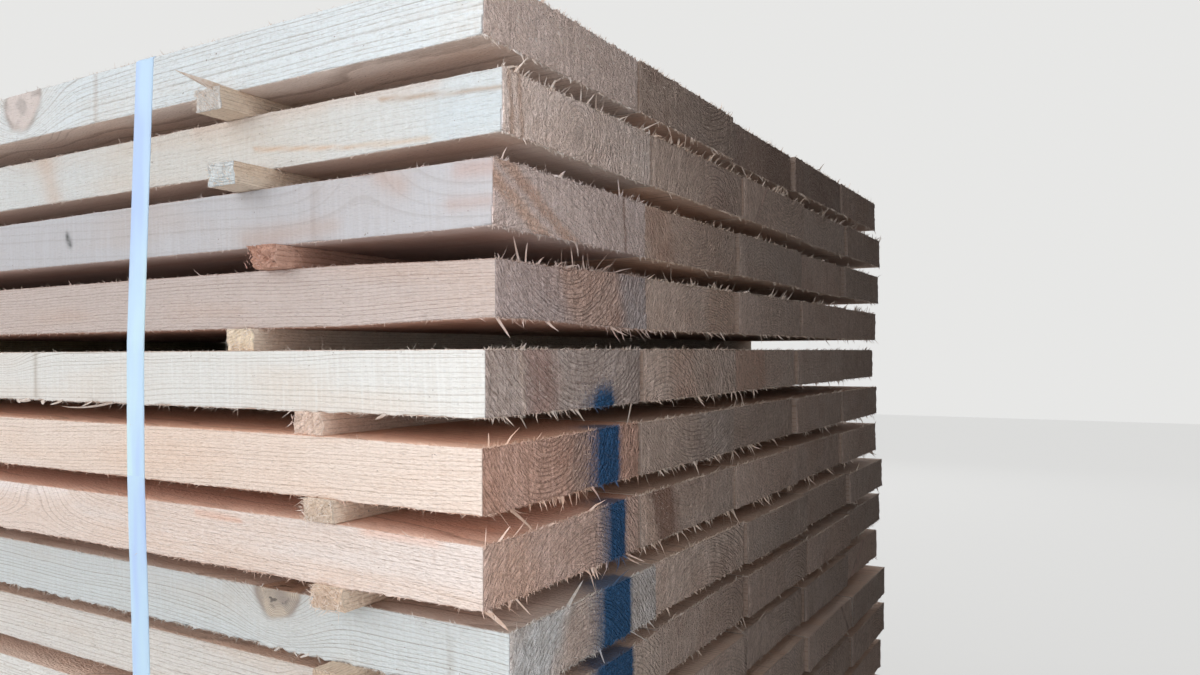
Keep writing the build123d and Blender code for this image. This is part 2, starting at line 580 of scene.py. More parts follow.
def sawn_face():
    """The long faces: pale wood with thin late-wood lines, torn fibres along X and faint saw marks."""
    finish = Finish("sawn_face", 0.66, 0.2)
    rings = growth(finish)
    tone = finish.attribute("tone", "Color")
    shade = finish.shades_of(tone)
    strength = finish.attribute("tone", "Alpha")

    def field(x, across, detail, rough):
        place = finish.shifted(finish.stretched(rings["grain"], (x, across, across)), rings["away"])
        return finish.noise(place, 1.0, detail, rough)

    brown = shade(0.66, 0.54, 0.45)
    base = finish.mix(finish.times(rings["heart"], 0.6), tone, shade(1.0, 0.91, 0.84))
    cloud = field(0.005, 0.028, 1.0, 0.5)
    base = finish.mix(finish.step(cloud, 0.45, 0.75, 0.0, 0.6), base, shade(0.99, 0.88, 0.80))

    # Fibres: long faint streaks, short torn dashes that also break up the late-wood lines, and pebbles
    rough = finish.attribute("rough", "Fac")
    streak = field(0.02, 0.55, 1.0, 0.6)
    dash = field(0.11, 0.75, 1.0, 0.7)
    pebble = field(0.22, 0.72, 1.0, 0.5)

    def tinted(base, share, tint, strength):
        return finish.mix(finish.times(share, strength), base, tint)

    base = tinted(base, finish.step(streak, 0.54, 0.76, 0.0, 0.35), brown, rough)
    base = tinted(base, finish.step(streak, 0.46, 0.28, 0.0, 0.6), shade(1.07, 1.08, 1.09), rough)
    base = tinted(base, finish.step(dash, 0.58, 0.74, 0.0, 0.34), brown, rough)
    base = tinted(base, finish.step(dash, 0.44, 0.28, 0.0, 0.6), shade(1.06, 1.07, 1.08), rough)
    # Painted highlight and shade of the pebbles: lighter on their raised tops, browner in their hollows
    base = tinted(base, finish.step(pebble, 0.45, 0.28, 0.0, 0.30), brown, rough)
    base = tinted(base, finish.step(pebble, 0.55, 0.72, 0.0, 0.6), shade(1.10, 1.11, 1.12), rough)
    broken = finish.minus(1.0, finish.times(rough, finish.step(dash, 0.6, 0.35, 0.0, 0.6)))
    line = finish.times(finish.times(rings["late"], strength), broken, clamp=True)
    base = finish.mix(line, base, shade(0.36, 0.28, 0.23))

    # Saw marks: fine upright lines, plainest on the smooth boards
    leaning = finish.plus(rings["gx"], finish.times(rings["gz"], 0.05))
    saw_place = finish.join(finish.times(leaning, 0.33), finish.times(rings["gz"], 0.02), 0.0)
    saw = finish.noise(saw_place, 1.0, 1.0, 0.6)
    plainness = finish.minus(1.0, rough)
    base = tinted(base, finish.step(saw, 0.60, 0.36, 0.0, 0.10), brown, plainness)
    base = tinted(base, finish.step(saw, 0.54, 0.74, 0.0, 0.35), shade(1.08, 1.09, 1.10), plainness)

    # Specks of dirt
    speck = field(0.16, 0.26, 2.0, 0.9)
    base = finish.mix(finish.step(speck, 0.705, 0.755, 0.0, 0.8), base, (0.24, 0.19, 0.16))
    base = lay_knots(finish, base, tone, rings, 1.0)
    base = paint_over(finish, base, rings, 0.8)

    height = finish.minus(finish.times(pebble, 1.5), finish.times(dash, 0.7))
    height = finish.times(height, finish.plus(rough, 0.15))
    height = finish.plus(height, finish.times(saw, 0.3))
    finish.bump(height, 0.0017, 0.9)
    return finish.colour(base)


def sawn_end():
    """The end grain: arcs of the growth rings, strokes of torn fibres along them, and a felt over both.

    The strokes are noise over the distance from the pith and the angle round it, so that they follow
    the rings. The fourth value of the attribute tone says how thick the felt lies over the rings, and
    below zero how cleanly the end was cut.
    """
    finish = Finish("sawn_end", 0.9, 0.05)
    rings = growth(finish)
    tone = finish.attribute("tone", "Color")
    shade = finish.shades_of(tone)
    felt = finish.attribute("tone", "Alpha")
    deep = shade(0.42, 0.33, 0.28)
    bright = shade(1.36, 1.25, 1.18)
    base = finish.mix(finish.times(rings["heart"], 0.5), shade(0.90, 0.79, 0.71), shade(0.88, 0.71, 0.61))
    stain_place = finish.shifted(finish.stretched(rings["grain"], (0.0, 0.018, 0.03)), rings["away"])
    stain = finish.noise(stain_place, 1.0, 1.0, 0.5)
    base = finish.mix(finish.step(stain, 0.54, 0.74, 0.0, 0.5), base, shade(0.68, 0.52, 0.44))
    base = finish.mix(finish.step(stain, 0.46, 0.28, 0.0, 0.4), base, shade(1.08, 1.0, 0.95))

    around = finish.times(rings["turn"], 15.0)
    stroke_place = finish.join(finish.times(rings["lifted"], 0.66), around, 2.0)
    stroke = finish.noise(finish.shifted(stroke_place, rings["away"]), 1.0, 1.0, 0.6)
    torn = finish.step(felt, -1.0, 0.0, 0.3, 1.0)
    clear = finish.times(finish.step(felt, 1.0, 0.3, 0.25, 1.0), torn)
    line = finish.times(rings["late"], clear, clamp=True)
    base = finish.mix(finish.times(finish.step(stroke, 0.50, 0.30, 0.0, 0.5), clear), base, deep)
    base = finish.mix(finish.times(finish.step(stroke, 0.52, 0.72, 0.0, 0.5), clear), base, bright)
    base = finish.mix(finish.times(line, 0.60), base, deep)

    # Felt: clumps of strands that lean to one side, and pits between them
    first = strands(finish, rings, -0.7, 0.10, 0.62, 1.0, 0.10)
    second = strands(finish, rings, 0.3, 0.14, 0.52, 7.0, 0.085)
    pits = finish.noise(rings["grain"], 0.42, 2.0, 0.7)
    base = finish.mix(finish.times(finish.step(pits, 0.48, 0.30, 0.0, 0.35), torn), base, deep)
    over = finish.math("MAXIMUM", first, finish.times(second, 0.8))
    over = finish.times(over, finish.step(felt, 0.0, 1.0, 0.12, 0.56))
    over = finish.times(over, finish.step(pits, 0.34, 0.58, 0.15, 1.0))
    over = finish.times(over, torn)
    base = finish.mix(over, base, bright)

    saw_place = finish.join(0.0, finish.times(rings["gy"], 0.30), finish.times(rings["gz"], 0.025))
    saw = finish.noise(finish.shifted(saw_place, rings["away"]), 1.0, 1.0, 0.6)
    base = finish.mix(finish.step(saw, 0.44, 0.26, 0.0, 0.25), base, deep)
    base = finish.mix(finish.step(saw, 0.56, 0.74, 0.0, 0.3), base, bright)
    base = lay_knots(finish, base, tone, rings, 0.7)
    base = paint_over(finish, base, rings, 0.97)

    height = finish.plus(pits, finish.times(over, 0.5))
    height = finish.plus(height, finish.times(finish.times(stroke, clear), 0.9))
    height = finish.plus(height, finish.times(saw, 0.3))
    height = finish.minus(height, finish.times(line, 0.5))
    finish.bump(height, 0.0023, 1.0)
    return finish.colour(base)


def torn_fibre():
    """Slivers and fibres: bright fresh wood, browner in places."""
    finish = Finish("torn_fibre", 0.6, 0.15)
    tone = finish.attribute("tone", "Color")
    patch = finish.noise(finish.attribute("grain", "Vector"), 0.25, 2.0)
    base = finish.mix(finish.step(patch, 0.35, 0.65), tone, finish.shades_of(tone)(0.88, 0.80, 0.73))
    mark = tuple(bpy.context.scene.board_package.mark_colour)
    base = finish.mix(finish.step(finish.attribute("paint", "Fac"), 0.3, 0.6, 0.0, 0.9), base, mark)
    return finish.colour(base)


def band_plastic():
    """The strapping band: smooth pale blue-white plastic with faint lengthwise drawing lines and soft clouds
    of painted greenish and violet sky reflection.
    """
    finish = Finish("band_plastic", 0.42, 0.4)
    place = finish.attribute("UVMap", "Vector")
    along = finish.noise(finish.stretched(place, (90.0, 1.5, 0.0)), 1.0, 3.0, 0.6)
    cloud = finish.noise(finish.stretched(place, (0.8, 5.0, 0.0)), 1.0, 2.0, 0.5)
    band = tuple(bpy.context.scene.board_package.band_colour)
    base = finish.mix(finish.step(along, 0.35, 0.7, 0.0, 0.2), band, tuple(0.84 * c for c in band))
    # Painted reflection: soft clouds of greenish and violet sky reflected along the band
    base = finish.mix(finish.step(cloud, 0.50, 0.66, 0.0, 0.7), base, (0.64, 0.87, 0.92))
    base = finish.mix(finish.step(cloud, 0.50, 0.34, 0.0, 0.7), base, (0.45, 0.60, 0.97))
    finish.bump(finish.plus(along, finish.times(cloud, 2.0)), 0.00015, 0.5)
    return finish.colour(base)


# How the first boards look, from the top layer down: tones of the long faces and of the end in
# linear colour, ring width and pith of the faces (+Y and +Z from the board's middle), its slope
# along X, strength of the lines there, ring width and pith of the end, radius of the heartwood, how
# thick the felt of torn fibres lies on the end and how rough the long faces are
LOOK_FIELDS = (
    "tone", "end", "ring", "pith", "slope", "lines", "end_ring", "end_pith", "heart", "felt", "rough",
)
LOOKS = [
    ((0.75, 0.8, 0.83), (0.86, 0.77, 0.76), 4.7, (-112, 170), 0.004, 0.5, 5.0, (40, -170), 40, 1.0, 0.55),
    ((0.67, 0.685, 0.685), (0.94, 0.87, 0.86), 5.5, (-106, 120), 0.01, 0.18, 4.0, (-14, -4), 90, 0.6, 0.4),
    (
        (0.52, 0.515, 0.54), (0.82, 0.74, 0.75), 10.0, (-98, -100), -0.03, 0.13, 6.0, (-60, -110),
        20, 0.7, 0.12,
    ),
    ((0.58, 0.495, 0.465), (0.67, 0.6, 0.62), 2.9, (-112, 170), 0.0, 0.55, 3.6, (-16, 66), 75, 0.15, 0.45),
    ((0.755, 0.75, 0.73), (0.6, 0.55, 0.55), 3.5, (-104, 110), 0.012, 0.44, 4.4, (20, 92), 30, 0.3, 0.22),
    ((0.835, 0.705, 0.625), (0.74, 0.54, 0.48), 3.1, (-112, 160), 0.028, 0.42, 3.8, (-28, 50), 160, 0.2, 0.5),
    (
        (0.805, 0.71, 0.665), (0.82, 0.67, 0.63), 3.0, (-110, -140), -0.02, 0.45, 3.6, (28, -75),
        160, 0.35, 0.58,
    ),
    ((0.62, 0.655, 0.665), (0.78, 0.8, 0.84), 3.4, (-106, 120), -0.012, 0.58, 3.8, (-8, -70), 30, 0.3, 0.35),
    ((0.74, 0.71, 0.68), (0.8, 0.72, 0.68), 3.6, (-100, -110), 0.0, 0.5, 3.6, (30, -80), 60, 0.5, 0.6),
]
# Streaks on the -Y faces of the first boards: (x, z) of both ends, in mm back from the +X end and up
# from the middle, half width and tint
STREAKS = {
    0: [(453, 24, 453, -24, 2.6, (0.84, 0.78, 0.74))],
    1: [(253, -5, 144, -16, 1.5, (0.97, 0.75, 0.60)), (144, -16, 65, -20, 2.0, (0.98, 0.83, 0.71)),
        (113, 16, 60, 12, 1.6, (0.74, 0.58, 0.47)), (60, 12, 2, 9, 1.6, (0.76, 0.60, 0.50)),
        (566, 19, 550, -22, 16, (0.96, 0.84, 0.77)), (420, 0, 200, 0, 60, (1.01, 0.97, 0.93)),
        (40, -6, 0, -6, 30, (0.94, 1.0, 1.05)), (330, 23, 60, 23, 7, (1.0, 0.90, 0.85))],
    2: [(28, 17, -6, 17, 8, (0.97, 0.80, 0.74)), (37, -6, 3, -6, 5, (0.97, 0.84, 0.79)),
        (103, 21, 83, 12, 9, (0.97, 0.85, 0.79)), (170, 22, 170, -22, 2.6, (0.84, 0.79, 0.76)),
        (250, -18, 150, -12, 9, (0.97, 0.88, 0.83)), (507, 5, 503, -4, 3.4, (0.16, 0.17, 0.16))],
    4: [(553, 21, 551, -19, 3.6, (0.74, 0.70, 0.66))],
    6: [(620, 20, 500, 21, 8, (1.12, 1.20, 1.28)), (303, 18, 246, 16, 2.4, (1.0, 0.80, 0.72)),
        (110, 21, 40, 21, 3, (1.0, 0.84, 0.78))],
    7: [(54, 13, 53, -16, 2.4, (0.84, 0.81, 0.78))],
}
# The sprayed mark on a first board's end: (from, to, top, strength, softness of its top), in mm from
# the board's own outer edge and, for the top, from the underside
MARKS = {
    4: (148, 174, 10, 0.8, 20), 5: (160, 186, 99, 1.0, 6), 6: (177, 197, 99, 0.95, 6),
    7: (135, 172, 99, 1.0, 6), 8: (118, 168, 99, 1.0, 6),
}
# Tone patches and painted shade on a board's end, by (layer from the top, board): (from, to, slope, tint)
TONE_AND_SHADE_PATCHES = {
    # Painted shade: the whole ends of the top layer's far boards are darkened
    (0, 1): [(-30, 255, 0.0, (0.80, 0.78, 0.77))],
    (0, 2): [(-30, 255, 0.0, (0.66, 0.64, 0.64))],
    (0, 3): [(-30, 255, 0.0, (0.70, 0.68, 0.68))],
    (1, 0): [(6, 11, 0.1, (0.80, 0.72, 0.66)), (18, 23, 0.1, (0.82, 0.75, 0.70))],
    (1, 1): [(120, 230, -0.4, (0.92, 0.90, 0.90))],
    (2, 0): [(6, 30, 1.9, (0.92, 0.80, 0.70)), (44, 66, 1.9, (0.88, 0.76, 0.67)),
        (184, 188, 0.1, (0.6, 0.52, 0.48))],
    (2, 1): [(4, 60, 0.4, (0.94, 0.86, 0.82))],
    (3, 0): [(0, 86, 0.3, (0.94, 0.95, 0.96)), (88, 176, 0.3, (1.04, 0.93, 0.84)),
        (182, 230, 0.0, (0.95, 1.02, 1.06))],
    (3, 1): [(150, 230, 0.0, (0.96, 0.90, 0.86))],
    (4, 0): [(40, 45, 0.1, (1.2, 1.2, 1.16)), (47, 86, 0.1, (0.84, 0.72, 0.70))],
    (4, 1): [(60, 110, 0.0, (0.94, 0.87, 0.84))],
    (4, 2): [(0, 110, 0.1, (0.86, 0.76, 0.71))],
    (5, 0): [(0, 20, 0.0, (0.90, 0.86, 0.83)), (112, 150, 0.1, (0.84, 0.93, 0.98))],
    (5, 1): [(120, 230, -0.5, (0.95, 0.99, 1.02))],
    (6, 0): [(4, 60, 0.3, (1.0, 0.96, 0.92)), (158, 172, 0.1, (0.88, 0.94, 0.99))],
    (6, 1): [(0, 26, 0.4, (1.1, 1.04, 1.0)), (26, 74, 0.3, (0.56, 0.46, 0.42))],
    (7, 0): [(0, 62, -0.9, (0.94, 1.0, 1.03)), (66, 128, -0.4, (1.0, 0.90, 0.84))],
}


# How deep a marked knot reaches, and the place and radius that keep a board clear of one, in mm
KNOT_DEPTH = 70
FAR_KNOT = (500.0, 500.0, 1.0)


def board_look(level, board):
    """The look of one board: the first boards follow the photograph, the others are drawn at random."""
    draw = np.random.default_rng(900 + 13 * level + board)
    if board == 0 and level < len(LOOKS):
        return {**dict(zip(LOOK_FIELDS, LOOKS[level])), "number": -1.0 - level * 0.37}
    tone = np.array([0.76, 0.73, 0.69]) * draw.uniform(0.84, 1.06)
    tone = tone * (1 + draw.uniform(-1, 1) * np.array([0.01, 0.045, 0.08]))
    end = np.array([0.80, 0.70, 0.66]) * draw.uniform(0.84, 1.1)
    end = end * (1 + draw.uniform(-1, 1) * np.array([0.0, 0.02, 0.03]))
    outer = -112 if board < BOARDS_ACROSS / 2 else 112
    ring = draw.uniform(2.8, 4.6)
    return {
        "tone": tuple(tone), "end": tuple(end), "ring": ring, "end_ring": ring,
        "pith": (outer + draw.uniform(-10, 30), draw.choice([-1, 1]) * draw.uniform(110, 180)),
        "slope": draw.uniform(-0.012, 0.012), "lines": draw.uniform(0.35, 0.6),
        "end_pith": (draw.uniform(-70, 70), draw.choice([-1, 1]) * draw.uniform(35, 110)),
        "heart": draw.uniform(30, 120), "felt": draw.uniform(0.2, 0.8), "rough": draw.uniform(0.3, 0.9),
        "number": 1.0 + level * 0.37 + board * 3.1,
    }


def grain_attributes(points, low, high, look, outward, knot=None):
    """The attributes that the wood finishes read: place in the log, ring make, tone and knot.

    The ends and the long faces are given a pith, a ring width and a tone of their own. A marked knot
    is a cone that narrows from the -Y face inwards to nothing at KNOT_DEPTH.
    """
    place = points - (low + high) / 2
    n = len(points)
    on_end = np.abs(outward[:, 0]) > 0.5
    end = on_end[:, None]
    across, up = look["pith"]
    face_pith = np.column_stack([np.full(n, across), up + look["slope"] * place[:, 0]])
    place[:, 1:] -= np.where(end, look["end_pith"], face_pith)
    make = np.empty((n, 3))
    make[:, 0] = np.where(on_end, look["end_ring"], look["ring"])
    make[:, 1:] = look["heart"], look["number"]
    tone = np.where(end, [*look["end"], look["felt"]], [*look["tone"], look["lines"]])
    marked = np.tile(FAR_KNOT, (n, 1))
    if knot is not None:
        x, z, size = knot
        narrowed = size * np.clip(1 - (points[:, 1] - low[1]) / KNOT_DEPTH, 0.01, 1)
        marked = np.column_stack([points[:, 0] - x, points[:, 2] - z, narrowed])
    return {"grain": place, "make": make, "tone": tone, "knot": marked, "rough": np.full(n, look["rough"])}


# The third of a piece's materials, after those of the long faces and of the ends
FIBRE_MATERIAL = 2


class Gather:
    """Collects blocks of points, faces and attributes until they become one piece."""

    KINDS = {
        "grain": "FLOAT_VECTOR", "make": "FLOAT_VECTOR", "knot": "FLOAT_VECTOR", "tone": "FLOAT_COLOR",
        "paint": "FLOAT", "rough": "FLOAT",
    }

    def __init__(self):
        self.points, self.faces, self.material, self.flat = [], [], [], []
        self.values = {name: [] for name in self.KINDS}
        self.count = 0

    def add(self, points, faces, material, values, flat=False):
        """Adds one block, with its faces' material numbers. Only paint and rough may be left out."""
        for block in faces:
            self.faces.append(block + self.count)
        self.material.append(material)
        self.flat.append(np.full(len(material), flat))
        self.points.append(points)
        for name in self.KINDS:
            self.values[name].append(values.get(name, np.zeros(len(points))))
        self.count += len(points)

    def add_fibres(self, points, faces, tone, paint=None):
        """Adds flat-shaded slivers of one tone, with a cover of paint where the mark crosses them."""
        n = len(points)
        values = {
            "grain": points.copy(), "make": np.zeros((n, 3)), "knot": np.zeros((n, 3)),
            "tone": np.tile(tone.clip(0, 0.9), (n, 1)),
        }
        if paint is not None:
            values["paint"] = paint
        self.add(points, [faces], np.full(len(faces), FIBRE_MATERIAL), values, flat=True)

    def piece(self, name, materials):
        attributes = [(key, kind, np.concatenate(self.values[key])) for key, kind in self.KINDS.items()]
        return make_piece(
            name, np.concatenate(self.points), self.faces, materials,
            np.concatenate(self.material), attributes, np.concatenate(self.flat),
        )


def end_relief(points, seed):
    """How far the end grain stands out of the sawn plane, in mm: tufts, strokes of the saw and swell."""
    tufts = lumps(points, (30, 2.4, 2.4), seed) * 0.65 + lumps(points, (30, 5, 4), seed + 1) * 0.5
    strokes = lumps(points, (50, 2.8, 34), seed + 2) * 0.45
    swell = lumps(points, (80, 60, 40), seed + 3) * 0.8
    return tufts + strokes + swell


# The ends' grids: cell, and how far in from the end the fine rings lie, in mm
NEAR_ENDS = {0: (1.6, [0.8, 2.2, 5.0, 10.0]), 1: (2.5, [0.8, 2.2, 5.0, 10.0])}
FARTHER_END = (3.8, [0.9, 4.0])
UNSEEN_END = (8.0, [2.0])
# How much of a first board's -Y side has fine stations, which need a denser section too, in mm
FINE_REACH = 640


def board_block(level, board, low, high):
    """The points and faces of one board, finest on the first boards of the seen layers."""
    seen = level < SEEN_LAYERS
    near_cell, near_rings = NEAR_ENDS.get(board, FARTHER_END) if seen else UNSEEN_END
    far_cell, far_rings = UNSEEN_END
    if seen and board == 0:
        near = high[0] - 22 - np.arange(0, FINE_REACH, 5.0)
        far = np.linspace(near[-1] - 20, low[0] + 16, 36)
        stations = np.concatenate([near, far])[::-1]
        section = (14.0, 3.0, 1.6)
    elif board in OUTER_BOARDS:
        stations = np.linspace(low[0] + 16, high[0] - 16, 28)
        section = (18.0, 8.0, 1.6)
    else:
        stations = np.linspace(low[0] + 16, high[0] - 16, 10)
        section = (28.0, 15.0, 1.6)
    far_end, near_end = (far_cell, 1.6, far_rings), (near_cell, 1.4, near_rings)
    return sawn_block(low, high, stations, section, far_end, near_end)


def ragged_edges(level, board, points, outward, low, high, seed):
    """How far the wood is torn in and out where two faces meet, in mm: more at the ends' edges."""
    edge = smooth(0.0, 0.25, 1 - np.abs(outward).max(axis=1))
    lower = points[:, 2] < (low[2] + high[2]) / 2
    along = np.where(lower, RAGGED.get((level, board), USUAL_RAGGED), 0.35)
    torn = 2.0 - 1.3 * smooth(0.3, 0.6, np.abs(outward[:, 1]))
    rough = np.where(np.abs(outward[:, 0]) > 0.25, torn, along)
    fine = lumps(points, (3.4, 1.9, 1.9), seed) * rough
    return fine * edge + lumps(points, (26, 9, 9), seed + 2) * 0.5 * edge


def add_board(gather, level, board, low, high):
    """One board: its block is rounded off, roughened and warped, and gets its wood attributes."""
    points, faces, is_end = board_block(level, board, low, high)
    seed = 31 * level + 7 * board
    look = board_look(level, board)
    wear = lumps(points, (14, 9, 9), seed + 4) * 0.5 + lumps(points, (3.5, 4, 4), seed + 5) * 0.4
    radius = bpy.context.scene.board_package.edge_radius / MM + 0.7 * wear
    if (level, board) in WORN_CORNERS:
        spot = (points - [high[0], low[1], low[2]]) ** 2 / WORN_REACH
        radius += WORN_CORNERS[(level, board)] * np.exp(-spot.sum(axis=1))
    moved, outward = round_off(points, low, high, radius)
    values = grain_attributes(points, low, high, look, outward, KNOTS.get((level, board)))
    ends = np.abs(outward[:, 0])
    relief = end_relief(points, seed + 6) * ends**2
    relief += ragged_edges(level, board, points, outward, low, high, seed + 9)
    relief += lumps(points, (9, 60, 60), seed + 10) * 0.12 * (1 - ends)
    moved = warp_board(level, board, moved + outward * relief[:, None], low, high)

    # The wide faces are browner than the sawn edges, partly as painted warm shade, and the edges inside the
    # joints get painted shade
    tint = values["tone"][:, :3]
    # Painted warm shade: the wide faces, which lie in the gaps, are tinted browner, partly as their own tone
    wide = smooth(0.6, 0.95, np.abs(outward[:, 2]))[:, None]
    tint *= 1 + wide * (np.array(WIDE_FACE_TONE_AND_SHADE_TINT) - 1)
    # Painted shade: the edges inside the joints are pulled towards a dark share of the end's tone
    inner = np.zeros(len(points))
    if board > 0:
        inner += smooth(-0.6, -0.95, outward[:, 1])
    if board < BOARDS_ACROSS - 1:
        inner += smooth(0.6, 0.95, outward[:, 1])
    tint += inner[:, None] * (np.array(look["end"]) * JOINT_SHADE_TINT - tint)
    lay_patches(TONE_AND_SHADE_PATCHES.get((level, board), []), seed, points, low, high, tint, outward)
    if board == 0:
        lay_streaks(STREAKS.get(level, []), points, low, high, tint, outward)
        values["paint"] = mark_cover(level, points, low, high)
    gather.add(moved, faces, is_end.astype(int), values)
    add_board_fibres(gather, level, board, low, high, look)


def lay_patches(patches, seed, points, low, high, tint, outward):
    """Multiplies the tone of a board's end by its patches' tints, of tone and of painted shade, with soft and
    uneven edges.
    """
    up = points[:, 2] - (low[2] + high[2]) / 2
    across = points[:, 1] - low[1]
    on_end = smooth(0.5, 0.9, outward[:, 0])
    waver = lumps(points, (40, 7, 12), seed + 12) * 5
    for start, stop, slope, change in patches:
        place = across + slope * up + waver * min((stop - start) / 20, 1)
        soft = min((stop - start) / 3, 13)
        share = smooth(start - soft, start + soft, place) * smooth(stop + soft, stop - soft, place) * on_end
        tint *= 1 + share[:, None] * (np.array(change) - 1)


def lay_streaks(streaks, points, low, high, tint, outward):
    """Tints a first board's -Y face along straight streaks, falling off as exp(-(distance / width)^2)."""
    back = high[0] - points[:, 0]
    up = points[:, 2] - (low[2] + high[2]) / 2
    on_face = smooth(-0.5, -0.9, outward[:, 1])
    waver = lumps(points, (16, 60, 16), 61) * 0.25
    for x0, z0, x1, z1, width, change in streaks:
        run = np.array([x1 - x0, z1 - z0])
        share = np.clip(((back - x0) * run[0] + (up - z0) * run[1]) / (run @ run), 0, 1)
        distance = np.hypot(back - x0 - share * run[0], up - z0 - share * run[1]) / width
        cover = np.exp(-((distance * (1 + waver)) ** 2)) * on_face
        tint *= 1 + cover[:, None] * (np.array(change) - 1)


def mark_cover(level, points, low, high):
    """How thickly the sprayed mark lies: a stroke up the end with soft edges, and spray beside it.

    It fades as exp(-(distance back / reach)^2), slower on the top face than on the underside.
    """
    if level not in MARKS:
        return np.zeros(len(points))
    start, stop, top, strength, soft = MARKS[level]
    across = points[:, 1] - low[1]
    up = points[:, 2] - low[2]
    inside = smooth(start - 9, start + 8, across) * smooth(stop + 4, stop - 3, across)
    outside = np.where(across < start, (start - across) / 24, np.clip(across - stop, 0, None) / 7)
    back = np.clip(high[0] - points[:, 0], 0, None)
    depth = np.exp(-((back / np.where(up > 40, 26, 4)) ** 2))
    cover = 0.57 * inside + 0.56 * np.exp(-(outside**2))
    return cover * depth * smooth(top + soft, top - soft / 2, up) * strength


# Knots on the -Y faces of first boards, by (layer from the top, board): (from the +X end, above the
# board's middle, radius). KNOTS gets their places when the boards are built
KNOT_PLACES = {
    (0, 0): (-580, 14, 26), (1, 0): (-590, 44, 20), (2, 0): (-118, 48, 24), (4, 0): (-610, 44, 18),
    (6, 0): (-555, 58, 30), (7, 0): (-233, 20, 20), (8, 0): (-212, 8, 9),
}
KNOTS = {}


def warp_board(level, board, points, low, high):
    """Small drying warps past the last laths: an end may sag or rise by a few mm."""
    sag = END_SAG.get((level, board))
    if sag is not None:
        top, bottom = sag
        share = (points[:, 2] - low[2]) / (high[2] - low[2])
        near = smooth(170, 0, high[0] - points[:, 0]) * smooth(200, 40, points[:, 1] - low[1])
        points[:, 2] += near * (top * share + bottom * (1 - share))
    return points


# Edges of ends that are torn most: (layer from the top, 1 at the top or -1 at the bottom): how much
SPLINTERED = {
    (0, -1): 0.5, (1, 1): 1.1, (2, 1): 0.4, (3, 1): 0.8, (3, -1): 0.4, (4, -1): 0.4, (5, -1): 0.7,
    (6, -1): 0.8,
}
# First boards whose lower corner at the +X end is worn rounder, by how many mm, and the squares of
# the distances along X, Y and Z over which that fades
WORN_CORNERS = {(0, 0): 4.0, (1, 0): 4.5, (2, 0): 2.5}
WORN_REACH = (90, 60, 90)
# How ragged the lower long edges of some first boards are, and those of all others, in mm
RAGGED = {(4, 0): 2.2, (7, 0): 3.0, (6, 0): 1.6, (5, 0): 1.3, (3, 0): 0.9}
USUAL_RAGGED = 0.5
# Tints of the wide faces over the long faces' tone, and of the joints' edges over the end's tone
# The wide faces' tint is browner wood and painted warm shade of the gaps
WIDE_FACE_TONE_AND_SHADE_TINT = (1.10, 0.88, 0.77)
# The joints' edges tint is painted shade
JOINT_SHADE_TINT = (0.50, 0.43, 0.38)
# How far the free corner of a first board moves up at its top and at its bottom, in mm
END_SAG = {(3, 0): (-2.8, 3.2), (6, 0): (-2.6, 0.4), (5, 0): (-1.6, -0.3), (1, 0): (-1.0, 1.0)}
# The slivers near the seen corner that are large enough to be told apart: layer from the top, then
# root (across, height), tip (across, height, outwards) and width. Heights are from the board's top
LONG_SLIVERS = [
    (0, 68, -47, 74, -54, 3, 1.5), (1, 46, 0, 42, 7, 2, 1.6), (1, 104, 0, 99, 11, 3, 1.8),
    (1, 112, 0, 118, 9, 4, 1.4), (1, 128, -1, 121, 12, 3, 1.6), (2, 66, 0, 60, 8, 2, 1.2),
    (2, 178, 0, 171, 15, 2, 1.4), (3, 28, 0, 13, 17, 5, 2.0), (3, 36, 0, 31, 18, 3, 1.3),
    (3, 84, 0, 78, 14, 3, 1.4), (3, 100, 0, 92, 17, 4, 1.2), (3, 118, 0, 106, 13, 3, 2.2),
    (3, 126, 0, 113, 15, 4, 1.8), (3, 134, 0, 148, 17, 5, 1.6), (3, 152, 0, 166, 14, 4, 1.4),
    (3, 1, -46, 10, -62, 4, 2.6), (3, 160, -47, 166, -60, 4, 1.5), (3, 176, -47, 178, -58, 3, 1.4),
    (3, 205, -47, 218, -59, 5, 1.8), (3, 214, -47, 224, -58, 4, 1.5), (4, 209, -47, 189, -66, 6, 1.8),
    (4, 40, -47, 44, -56, 3, 2.2), (5, 7, 0, 6, 11, 1, 1.4), (5, 32, -47, 51, -64, 9, 3.4),
    (5, 18, -46, 27, -62, 5, 1.5), (5, 120, -47, 116, -58, 4, 1.4), (5, 128, -47, 134, -57, 4, 1.3),
    (6, 2, -1, 1, 14, 2, 1.6), (6, 18, 0, 24, 11, 4, 1.8), (6, 34, 0, 46, 13, 6, 2.0),
    (6, 4, -47, 20, -64, 8, 4.2), (6, -2, -43, -1, -52, 1, 1.2), (6, 24, -47, 35, -59, 5, 1.6),
    (6, 38, -47, 48, -61, 5, 1.6), (6, 196, -47, 212, -60, 9, 1.8), (6, 202, -47, 222, -58, 9, 1.6),
    (7, 75, 0, 94, 17, 3, 3.6), (7, 123, -46, 123, -58, 4, 1.5), (7, 176, -46, 192, -58, 7, 1.4),
]
# Flakes that hang from the lower -Y edge of some first boards: root (back from the end, above the
# edge), tip (back, above the edge, outwards) and width
FLAKES = {
    4: [(423, 1, 500, -15, 9, 3.4), (455, 1, 470, -6, 3, 3.0), (505, 1, 522, -6, 4, 2.6),
        (540, 1, 532, -5, 4, 3.6), (562, 1, 580, -4, 3, 3.2), (585, 1, 574, -5, 4, 2.8),
        (90, 1, 99, -5, 3, 3.8)],
    7: [(196, 1, 205, -4, 3, 2.4), (214, 1, 208, -4, 2, 2.2), (188, 1, 181, -5, 3, 2.4),
        (230, 1, 236, -4, 2, 2.0)],
}
FLAKE_BOW = (0.05, 0.02, 0.14)
